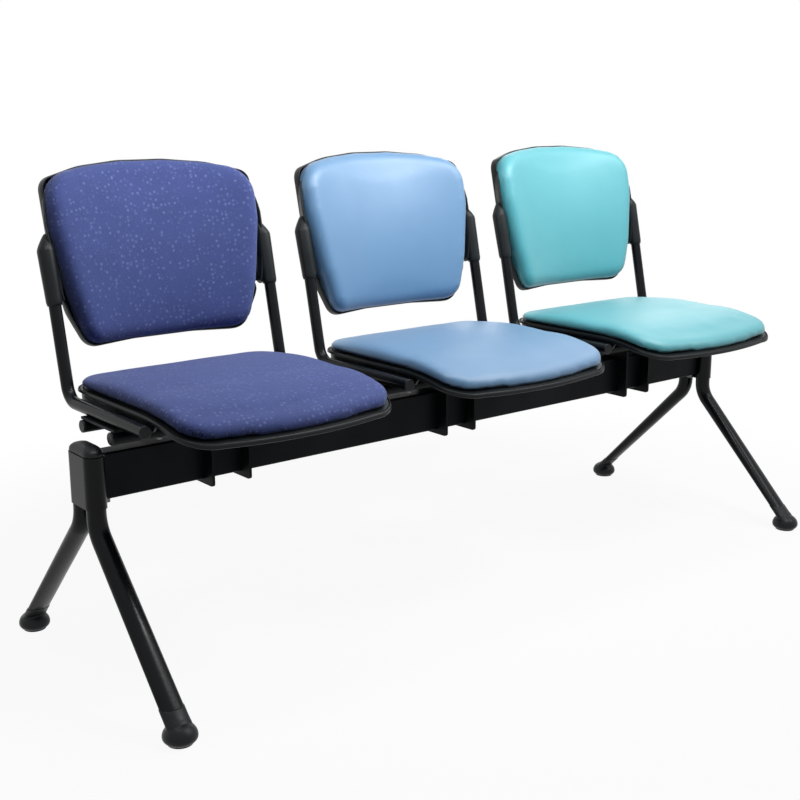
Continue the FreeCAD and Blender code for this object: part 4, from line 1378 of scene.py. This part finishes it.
@dataclass
class BackShell:
    """The moulded rear shell of a backrest, with its rim, sleeves and wings."""

    radius: float = 0.655
    middle_y: float = 0.052
    wall: float = 0.004
    rim: float = 0.014
    low_rim_x: float = 0.180
    low_rim_start: tuple[float, float] = (0.004, 0.026)
    low_rim_end: tuple[float, float] = (0.132, 0.165)
    low_rim_share: float = 0.82
    sleeve_x: float = 0.2206
    sleeve_radius: float = 0.0142
    shoulder_radius: float = 0.0156
    shoulder_shift: float = 0.0022
    mouth_radius: float = 0.0127
    shoulder: float = 0.110
    tip: float = 0.137
    bore: float = 0.01115
    wing_wall: float = 0.0045

    def face(self, x: np.ndarray) -> np.ndarray:
        """Give the depth of the shell's front face at a distance from its middle."""
        return self.middle_y - self.radius + np.sqrt(self.radius ** 2 - x ** 2)

    def outline(self, inset: float) -> np.ndarray:
        """Give the shell's outline seen from the front.

        Args:
            inset: How far it is moved inward.

        Returns:
            The closed outline as x and z.
        """
        right = [
            (0.062, -0.0615 + inset), (0.161 - inset, -0.0685 + inset), (0.1955 - inset, 0.0),
            (0.210 - inset, 0.135), (0.2115 - inset, 0.2310 - inset), (0.130, 0.2558 - inset),
            (0.046, 0.2660 - inset),
        ]
        radii = [0.300, 0.034 - 0.5 * inset, 0.060, 0.060, 0.027, 0.190, 0.190]
        left = [(-x, z) for x, z in reversed(right)]
        return rounded_path(right + left, radii + radii[::-1], 0.008)

    def ring(self) -> bpy.types.Object:
        """Sweep the rim's section round the shell, lower beside the sleeves.

        Returns:
            The rim.
        """
        base = self.outline(0.0)
        away = outward_of(base)
        falling = eased(base[:, 1], *self.low_rim_start)
        rising = eased(-base[:, 1], -self.low_rim_end[1], -self.low_rim_end[0])
        beside = (np.abs(base[:, 0]) > self.low_rim_x) * falling * rising
        section = [
            (-0.0042, 0.0), (-0.0042, 0.55), (-0.0040, 0.90), (-0.0030, 0.985), (-0.0018, 1.0),
            (-0.0007, 0.965), (-0.0001, 0.85), (0.0, 0.45), (0.0, 0.0),
        ]
        loops = []
        for out, share in section:
            spot = base + away * out
            forward = share * self.rim * (1.0 - self.low_rim_share * beside)
            loops.append(np.column_stack([spot[:, 0], self.face(spot[:, 0]) - forward, spot[:, 1]]))
        for out, rear in ((-0.0004, 0.0030), (-0.0016, 0.0040), (-0.0042, 0.0042)):
            spot = base + away * out
            loops.append(np.column_stack([spot[:, 0], self.face(spot[:, 0]) + rear, spot[:, 1]]))
        return swept("back_rim", loops, Ends.BRIDGED)

    def skin(self) -> bpy.types.Object:
        """Make the curved skin inside the rim.

        Returns:
            The skin with its thickness.
        """
        sheet = sliced_sheet("back_skin", self.outline(0.002), (24, 6))
        points = points_of(sheet)
        points = np.column_stack([points[:, 0], self.face(points[:, 0]), points[:, 1]])
        set_points(sheet, points)
        wall = sheet.modifiers.new("wall", "SOLIDIFY")
        wall.thickness = self.wall
        wall.offset = 1.0
        apply_modifiers(sheet)
        # The wall grows forward from the sheet, so the skin moves back by its thickness
        shift(sheet, (0.0, self.wall, 0.0))
        return sheet

    def sleeve(self) -> bpy.types.Object:
        """Draw the right-hand sleeve up from its mouth to its tip.

        Returns:
            The sleeve with its mouth round the upright.
        """
        x = self.sleeve_x
        mouth = self.mouth_radius
        body = self.sleeve_radius
        widest = self.shoulder_radius
        back = self.shoulder_shift
        halfway = 0.5 * (body + widest)
        rings = [
            (0.030, self.bore, x, 0.0),
            (0.0114, self.bore, x, 0.0),
            (0.0110, mouth - 0.0004, x, 0.0),
            (0.0114, mouth, x, 0.0),
            (0.0145, body - 0.0006, x, 0.0),
            (0.0180, body, x, 0.0),
            (0.0220, body, x, 0.0),
            (0.060, halfway, x, 0.5 * back),
            (self.shoulder - 0.004, widest, x, back),
            (self.shoulder, widest - 0.0006, x - 0.0004, back + 0.0003),
            (self.shoulder + 0.006, 0.0135, x - 0.0018, 0.0034),
            (self.shoulder + 0.014, 0.0105, x - 0.0038, 0.0048),
            (self.tip - 0.006, 0.0076, x - 0.0058, 0.0062),
            (self.tip - 0.0015, 0.0052, x - 0.0070, 0.0070),
            (self.tip, 0.0030, x - 0.0074, 0.0072),
        ]
        angles = np.linspace(0.0, 2.0 * math.pi, 32, endpoint=False)
        loops = []
        for height, radius, middle, depth in rings:
            loops.append(np.column_stack([middle + radius * np.cos(angles), depth + radius * np.sin(angles),
                                          np.full(len(angles), height)]))
        return swept("back_sleeve", loops)

    def wing(self) -> bpy.types.Object:
        """Draw the right-hand wing from beside the sleeve up into the rim.

        Returns:
            The wing.
        """
        stations = [
            (0.019, 0.1940, 0.0200, 0.2055, -0.0020), (0.040, 0.1965, 0.0195, 0.2090, -0.0050),
            (0.060, 0.1990, 0.0190, 0.2120, -0.0070), (0.085, 0.2025, 0.0180, 0.2150, -0.0085),
            (0.110, 0.2055, 0.0170, 0.2175, -0.0090), (0.130, 0.2060, 0.0165, 0.2192, -0.0082),
            (0.150, 0.2060, 0.0165, 0.2200, -0.0070), (0.165, 0.2058, 0.0165, 0.2184, -0.0052),
            (0.178, 0.2055, 0.0165, 0.2160, -0.0030), (0.192, 0.2050, 0.0168, 0.2128, -0.0004),
            (0.206, 0.2045, 0.0170, 0.2095, 0.0020),
        ]
        loops = []
        for z, rear_x, rear_y, front_x, front_y in stations:
            corners = [(rear_x, rear_y), (rear_x + self.wing_wall, rear_y),
                       (front_x, front_y), (front_x - self.wing_wall, front_y)]
            path = rounded_path(corners, [0.0010, 0.0010, 0.0018, 0.0018], 0.5)
            loops.append(np.column_stack([path, np.full(len(path), z)]))
        return swept("back_wing", loops)

    def web(self) -> bpy.types.Object:
        """Draw the right-hand web between sleeve and shell, with a toe that runs down the sleeve.

        Returns:
            The web.
        """
        loops = []
        for z, inner in ((0.0135, 0.2095), (0.0150, 0.2072), (0.0175, 0.2045), (0.0215, 0.2016),
                         (0.0270, 0.1998), (0.0340, 0.1990), (0.1100, 0.1990), (0.1140, 0.2010)):
            corners = [(0.213, 0.004), (0.213, 0.020), (inner, 0.020), (inner, 0.004)]
            path = rounded_path(corners, [0.0012] * 4, 0.5)
            loops.append(np.column_stack([path, np.full(len(path), z)]))
        return swept("back_web", loops)

    def build(self, finish: bpy.types.Material) -> None:
        """Make the three shells and put each in its place.

        Args:
            finish: The shell's material.
        """
        right = joined([self.sleeve(), self.wing(), self.web()], "back_side")
        left = twin(right, "back_side_mirrored")
        points = points_of(left)
        points[:, 0] *= -1.0
        set_points(left, points)
        with editing(left):
            bpy.ops.mesh.flip_normals()
        shell = joined([self.ring(), self.skin(), right, left], "back_shell_form")
        set_points(shell, leaned(points_of(shell)))
        smooth_by_angle(shell, 38.0)
        coat(shell, finish)
        place_on_seats(shell, "back_shell_moulding", "back_shell")


@dataclass
class LegCaps:
    """The domed plastic caps on the two leg heads."""

    middle_x: float = 0.793
    half_spacing: float = 0.0254
    radius: float = 0.0172
    seat: float = 0.406
    skirt: float = 0.0035
    top: float = 0.424
    edge: float = 0.0006
    fullness: float = 0.85

    def build(self, finish: bpy.types.Material) -> None:
        """Make both caps.

        Args:
            finish: The cap's material.
        """
        angles = np.linspace(0.0, 2.0 * math.pi, 64, endpoint=False)
        reach = self.reach(angles)
        loops = [self.loop(angles, reach - self.edge, self.seat)]
        loops.append(self.loop(angles, reach, self.seat + self.edge))
        loops.append(self.loop(angles, reach, self.seat + self.skirt))
        rise = self.top - self.seat - self.skirt
        for lift in np.radians([8.0, 16.0, 25.0, 35.0, 45.0, 56.0, 67.0, 77.0, 85.0]):
            share = math.cos(lift) ** self.fullness
            loops.append(self.loop(angles, reach * share, self.seat + self.skirt + rise * math.sin(lift)))
        cap = swept("leg_cap_dome_right", loops)
        smooth_by_angle(cap, 50.0)
        coat(cap, finish)
        mirror = twin(cap, "leg_cap_dome_left", (-2.0 * self.middle_x, 0.0, 0.0))
        for piece, end in ((cap, "right"), (mirror, "left")):
            declare(piece, f"leg_cap_{end}")

    def reach(self, angles: np.ndarray) -> np.ndarray:
        """Give the cap's edge distance from its middle in each direction.

        Args:
            angles: The directions.

        Returns:
            The distances in metres.
        """
        across = np.abs(np.sin(angles))
        along = self.half_spacing * across
        offset = self.half_spacing * np.cos(angles)
        round_end = along + np.sqrt(np.maximum(self.radius ** 2 - offset ** 2, 0.0))
        flat_side = self.radius / np.maximum(np.abs(np.cos(angles)), 1e-6)
        on_side = flat_side * across < self.half_spacing
        return np.where(on_side, flat_side, round_end)

    def loop(self, angles: np.ndarray, reach: np.ndarray, height: float) -> np.ndarray:
        """Give one loop of the cap.

        Args:
            angles: The directions of its points.
            reach: Their distances from the middle.
            height: The loop's height.

        Returns:
            The loop's points.
        """
        return np.column_stack([self.middle_x + reach * np.cos(angles), reach * np.sin(angles),
                                np.full(len(angles), height)])


@dataclass
class Feet:
    """The four moulded feet: a ball with a flat base that runs up into an oval sleeve."""

    middle_x: float = 0.793
    middle_y: float = 0.281
    radius: float = 0.0285
    widest: float = 0.0125
    crown: float = 0.0225
    axis_y: float = -0.0039
    axis_z: float = 0.0220
    slant: float = math.radians(45.0)
    sleeve_width: float = 0.0216
    sleeve_depth: float = 0.0104
    sleeve_top: float = 0.0510
    undercut: float = 1.25
    flat: float = 0.0003
    floor_gap: float = 0.0004
    voxel: float = 0.0013

    def ball(self) -> bpy.types.Object:
        """Flatten a sphere into the foot's ball.

        Returns:
            The ball.
        """
        deselect_all()
        bpy.ops.mesh.primitive_uv_sphere_add(segments=64, ring_count=36, radius=1.0, location=(0.0, 0.0, 0.0))
        ball = named("foot_ball")
        unit = points_of(ball)
        height = np.where(unit[:, 2] > 0.0, unit[:, 2] * self.crown, unit[:, 2] * self.undercut * self.widest)
        flat = np.maximum(self.widest + height, self.flat)
        set_points(ball, np.column_stack([unit[:, 0] * self.radius, unit[:, 1] * self.radius, flat]))
        return ball

    def sleeve(self) -> bpy.types.Object:
        """Draw the oval sleeve up the leg's slant, flared where it meets the ball.

        Returns:
            The sleeve of a foot that stands in front.
        """
        angles = np.linspace(0.0, 2.0 * math.pi, 48, endpoint=False)
        along = np.array([0.0, math.cos(self.slant), math.sin(self.slant)])
        across = np.array([0.0, -math.sin(self.slant), math.cos(self.slant)])
        start = np.array([0.0, self.axis_y, self.axis_z])
        loops = []
        for run, flare in ((0.0, 0.0), (0.004, 0.0008), (0.008, 0.0018), (0.013, 0.0008), (0.019, 0.0002),
                           (0.028, 0.0), (0.040, 0.0), (0.058, 0.0)):
            wide = self.sleeve_width + 0.3 * flare
            deep = self.sleeve_depth + flare
            ring = (start + along * run + np.outer(np.cos(angles) * wide, [1.0, 0.0, 0.0])
                    + np.outer(np.sin(angles) * deep, across))
            loops.append(ring)
        sleeve = swept("foot_sleeve", loops)
        with editing(sleeve):
            bpy.ops.mesh.bisect(plane_co=(0.0, 0.0, self.sleeve_top), plane_no=(0.0, 0.0, 1.0),
                                clear_outer=True, use_fill=True)
        return sleeve

    def build(self, finish: bpy.types.Material) -> None:
        """Make the four feet.

        Args:
            finish: The feet's material.
        """
        foot = joined([self.ball(), self.sleeve()], "foot_form")
        blend = foot.modifiers.new("moulding", "REMESH")
        blend.mode = "VOXEL"
        blend.voxel_size = self.voxel
        calm = foot.modifiers.new("calm", "SMOOTH")
        calm.factor = 0.5
        calm.iterations = 6
        apply_modifiers(foot)
        points = points_of(foot)
        points[:, 2] = np.maximum(points[:, 2], self.floor_gap)
        set_points(foot, points)
        choose(foot)
        bpy.ops.object.shade_smooth()
        coat(foot, finish)
        for end, side in (("left", -1.0), ("right", 1.0)):
            for row, toward in (("front", -1.0), ("rear", 1.0)):
                piece = twin(foot, f"foot_moulding_{row}_{end}")
                shaped = points_of(piece)
                if row == "rear":
                    shaped[:, 1] *= -1.0
                    piece.data.flip_normals()
                shaped += np.array([side * self.middle_x, toward * self.middle_y, 0.0])
                set_points(piece, shaped)
                declare(piece, f"foot_{row}_{end}")
        bpy.data.objects.remove(foot)


# The cushions


def normals_of(obj: bpy.types.Object) -> np.ndarray:
    """Read the normals of an object's vertices.

    Args:
        obj: A mesh object.

    Returns:
        One row of x, y, z for each vertex.
    """
    values = np.empty(len(obj.data.vertices) * 3, np.float32)
    obj.data.vertices.foreach_get("normal", values)
    return values.reshape(-1, 3).astype(float)


def evened_out(obj: bpy.types.Object, values: np.ndarray, rounds: int) -> np.ndarray:
    """Average a value over each vertex's neighbours.

    Args:
        obj: The mesh object.
        values: One value for each vertex.
        rounds: How many times it is averaged.

    Returns:
        The evened values.
    """
    ends = np.empty(len(obj.data.edges) * 2, np.int32)
    obj.data.edges.foreach_get("vertices", ends)
    first, second = ends.reshape(-1, 2).T
    count = len(values)
    degree = np.bincount(first, minlength=count) + np.bincount(second, minlength=count) + 1.0
    for _ in range(rounds):
        total = values + np.bincount(first, values[second], count) + np.bincount(second, values[first], count)
        values = total / degree
    return values


@dataclass
class BackPadForm:
    """The domed block of foam that a back cushion is cut from."""

    shell: BackShell
    front_radius: float = 0.470
    wall_depth: float = 0.0165
    edge_depth: float = 0.0320
    edge_width: float = 0.0240
    crown: float = 0.0175
    middle_z: float = 0.100
    half_width: float = 0.210
    half_height: float = 0.164

    def outline(self) -> np.ndarray:
        """Give the cushion's outline seen from the front.

        Returns:
            The closed outline as x and z.
        """
        right = [
            (0.070, -0.0590), (0.1650, -0.0628), (0.1885, 0.022), (0.2088, 0.138), (0.2095, 0.2330),
            (0.120, 0.2535), (0.045, 0.2622),
        ]
        radii = [0.300, 0.037, 0.150, 0.150, 0.062, 0.190, 0.190]
        left = [(-x, z) for x, z in reversed(right)]
        return rounded_path(right + left, radii + radii[::-1], 0.008)

    def front(self, spot: np.ndarray, inset: float) -> np.ndarray:
        """Give the depth of the cushion's front.

        Args:
            spot: The places as x and z.
            inset: Their distance from the outline.

        Returns:
            The depths in the backrest's frame.
        """
        bend = self.shell.middle_y - self.front_radius + np.sqrt(self.front_radius ** 2 - spot[:, 0] ** 2)
        wall = self.shell.face(spot[:, 0]) - self.wall_depth
        rise = wall - (bend - self.edge_depth)
        share = np.sqrt(1.0 - (1.0 - min(inset / self.edge_width, 1.0)) ** 2)
        across = 1.0 - (spot[:, 0] / self.half_width) ** 2
        upward = 1.0 - ((spot[:, 1] - self.middle_z) / self.half_height) ** 2
        return wall - rise * share - self.crown * across * upward

    def build(self) -> bpy.types.Object:
        """Draw the form out from the middle of its rear to the middle of its front.

        Returns:
            The closed form in the middle seat's place.
        """
        base = self.outline()
        away = outward_of(base)
        centre = np.array([0.0, self.middle_z])
        loops = []
        for share in (0.04, 0.3, 0.6, 0.85, 0.97):
            spot = centre + (base - centre) * share
            loops.append(np.column_stack([spot[:, 0], self.shell.face(spot[:, 0]) - 0.0006, spot[:, 1]]))
        for depth in (0.0020, 0.0080):
            loops.append(np.column_stack([base[:, 0], self.shell.face(base[:, 0]) - depth, base[:, 1]]))
        for inset in (0.0, 0.0003, 0.0010, 0.0022, 0.0038, 0.0059, 0.0085, 0.0116, 0.0152, 0.0195, 0.0240):
            spot = base - away * inset
            loops.append(np.column_stack([spot[:, 0], self.front(spot, inset), spot[:, 1]]))
        inner = base - away * self.edge_width
        for share in (0.94, 0.86, 0.77, 0.68, 0.58, 0.48, 0.38, 0.28, 0.18, 0.10, 0.04):
            spot = centre + (inner - centre) * share
            loops.append(np.column_stack([spot[:, 0], self.front(spot, self.edge_width), spot[:, 1]]))
        form = swept("back_pad_form", loops)
        set_points(form, leaned(points_of(form)))
        return form


@dataclass
class Cushions:
    """Seat and back cushions: foam swollen under its cover, one of each for every seat."""

    voxel: float = 0.005
    pressure: float = 4.0
    steps: int = 20
    quality: int = 6
    mass: float = 0.25
    start_inside: float = 0.001
    seat_cap: float = 0.004
    back_cap: float = 0.002
    proud: float = 0.0008
    held_from: float = 0.3
    held_slope: float = 3.0
    rise_rounds: int = 12
    seat_rounds: int = 24
    back_rounds: int = 3

    def cover(self, solid: bpy.types.Object, name: str) -> bpy.types.Object:
        """Remesh a form as one even skin and lay the skin back on it.

        Args:
            solid: The cushion's form, which is used up.
            name: The cushion's name.

        Returns:
            The even skin, a little inside the form.
        """
        skin = twin(solid, name)
        even = skin.modifiers.new("even_skin", "REMESH")
        even.mode = "VOXEL"
        even.voxel_size = self.voxel
        fit = skin.modifiers.new("fit", "SHRINKWRAP")
        fit.target = solid
        fit.wrap_method = "NEAREST_SURFACEPOINT"
        apply_modifiers(skin)
        bpy.data.objects.remove(solid)
        set_points(skin, points_of(skin) - normals_of(skin) * self.start_inside)
        return skin

    def held(self, toward_board: np.ndarray) -> np.ndarray:
        """Say how firmly the board holds each point of a cover.

        Args:
            toward_board: How squarely the cover faces the board there, from -1 to 1.

        Returns:
            The share by which each point is held.
        """
        return np.clip((toward_board - self.held_from) * self.held_slope, 0.0, 1.0)

    def swell(self, skin: bpy.types.Object, cap: float, hold: np.ndarray) -> None:
        """Fill a cover with foam by a short cloth simulation.

        Args:
            skin: The closed cover.
            cap: How far any point may move, in metres.
            hold: The share by which each point is held.
        """
        start = points_of(skin)
        out = normals_of(skin)
        rise = np.full(len(start), self.start_inside)
        group = skin.vertex_groups.new(name="held")
        for index, weight in enumerate(hold):
            if weight > 0.0:
                group.add([index], float(weight), "REPLACE")
        cloth = skin.modifiers.new("filling", "CLOTH")
        cloth.settings.quality = self.quality
        cloth.settings.mass = self.mass
        cloth.settings.use_pressure = True
        cloth.settings.uniform_pressure_force = self.pressure
        cloth.settings.effector_weights.gravity = 0.0
        cloth.settings.vertex_group_mass = "held"
        for step in range(1, self.steps + 1):
            bpy.context.scene.frame_set(step)
        choose(skin)
        bpy.ops.object.modifier_apply(modifier=cloth.name)
        bpy.context.scene.frame_set(1)
        skin.vertex_groups.clear()
        rise += np.clip(((points_of(skin) - start) * out).sum(axis=1), 0.0, cap)
        rise = evened_out(skin, rise, self.rise_rounds)
        set_points(skin, start + out * (rise + self.proud * (1.0 - hold))[:, None])

    def refine(self, skin: bpy.types.Object, rounds: int) -> None:
        """Even out the swollen cover and give it its final smoothness.

        Args:
            skin: The swollen cover.
            rounds: How often it is evened out.
        """
        even = skin.modifiers.new("even", "SMOOTH")
        even.factor = 0.5
        even.iterations = rounds
        fine = skin.modifiers.new("fine", "SUBSURF")
        fine.levels = 1
        fine.render_levels = 1
        apply_modifiers(skin)
        choose(skin)
        bpy.ops.object.shade_smooth()

    def seat(self) -> bpy.types.Object:
        """Make the middle seat's cushion, held on its board.

        Returns:
            The cushion.
        """
        skin = self.cover(solid_copy("seat_pad_middle", "seat_pad_form"), "seat_cushion_middle")
        self.swell(skin, self.seat_cap, self.held(-normals_of(skin)[:, 2]))
        self.refine(skin, self.seat_rounds)
        return skin

    def back(self) -> bpy.types.Object:
        """Make the middle backrest's cushion, held on its board.

        Returns:
            The cushion.
        """
        skin = self.cover(BackPadForm(BackShell()).build(), "back_cushion_middle")
        self.swell(skin, self.back_cap, self.held(normals_of(skin)[:, 1]))
        self.refine(skin, self.back_rounds)
        return skin

    def build(self, covers: dict[str, tuple[bpy.types.Material, bpy.types.Material]]) -> None:
        """Make all six cushions.

        Args:
            covers: For each seat, the materials of its seat and back cushion.
        """
        seat = self.seat()
        back = self.back()
        for index, name in enumerate(SEAT_NAMES):
            offset = ((index - 1) * SEAT_PITCH, 0.0, 0.0)
            for source, kind, which in ((seat, "seat", 0), (back, "back", 1)):
                piece = source if name == "middle" else twin(source, f"{kind}_cushion_{name}", offset)
                coat(piece, covers[name][which])
                declare(piece, f"{kind}_pad_{name}")


def dress(frame: dict, finishes: dict[str, bpy.types.Material], matt: bpy.types.Material) -> None:
    """Give every carried-over node the material of its slot.

    Args:
        finishes: A material for each slot of the record.
        matt: The duller coat of the beam and of what is clamped to it.
    """
    slots = {part["node"]: part["material_slot"] for part in frame["record"]["subparts"]}
    for name, obj in frame["nodes"].items():
        material = matt if name.startswith(MATT_NODES) else finishes.get(slots.get(name, ""))
        if material is None:
            continue
        if not obj.data.materials:
            obj.data.materials.append(material)
        for place in range(len(obj.data.materials)):
            obj.data.materials[place] = material


def main() -> None:
    """Build the row piece by piece."""
    logging.basicConfig(level=logging.INFO)
    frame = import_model()
    Studio().build()
    effects = Effects()
    frame_paint = POWDER_COAT.make(effects)
    steel = BLACK_STEEL.make(effects)
    finishes = {
        "frame": frame_paint,
        "hidden_steel": frame_paint,
        "bolts": steel,
        "shell": MOULDED_SHELL.make(effects),
        "moulding": MOULDED_TRIM.make(effects),
        "non_slip": NON_SLIP.make(effects),
        "board": PLYWOOD.make(effects),
    }
    dress(frame, finishes, MATT_COAT.make(effects))
    SeatShell(SeatForm()).build(finishes["shell"])
    BackShell().build(finishes["shell"])
    LegCaps().build(finishes["moulding"])
    Feet().build(finishes["moulding"])
    cloths = (SEAT_CLOTH.make(effects), BACK_CLOTH.make(effects))
    sky_blue = BLUE_VINYL.make(effects)
    turquoise = TURQUOISE_VINYL.make(effects)
    Cushions().build({
        "left": cloths,
        "middle": (sky_blue, sky_blue),
        "right": (turquoise, turquoise),
    })


if __name__ == "__main__":
    main()
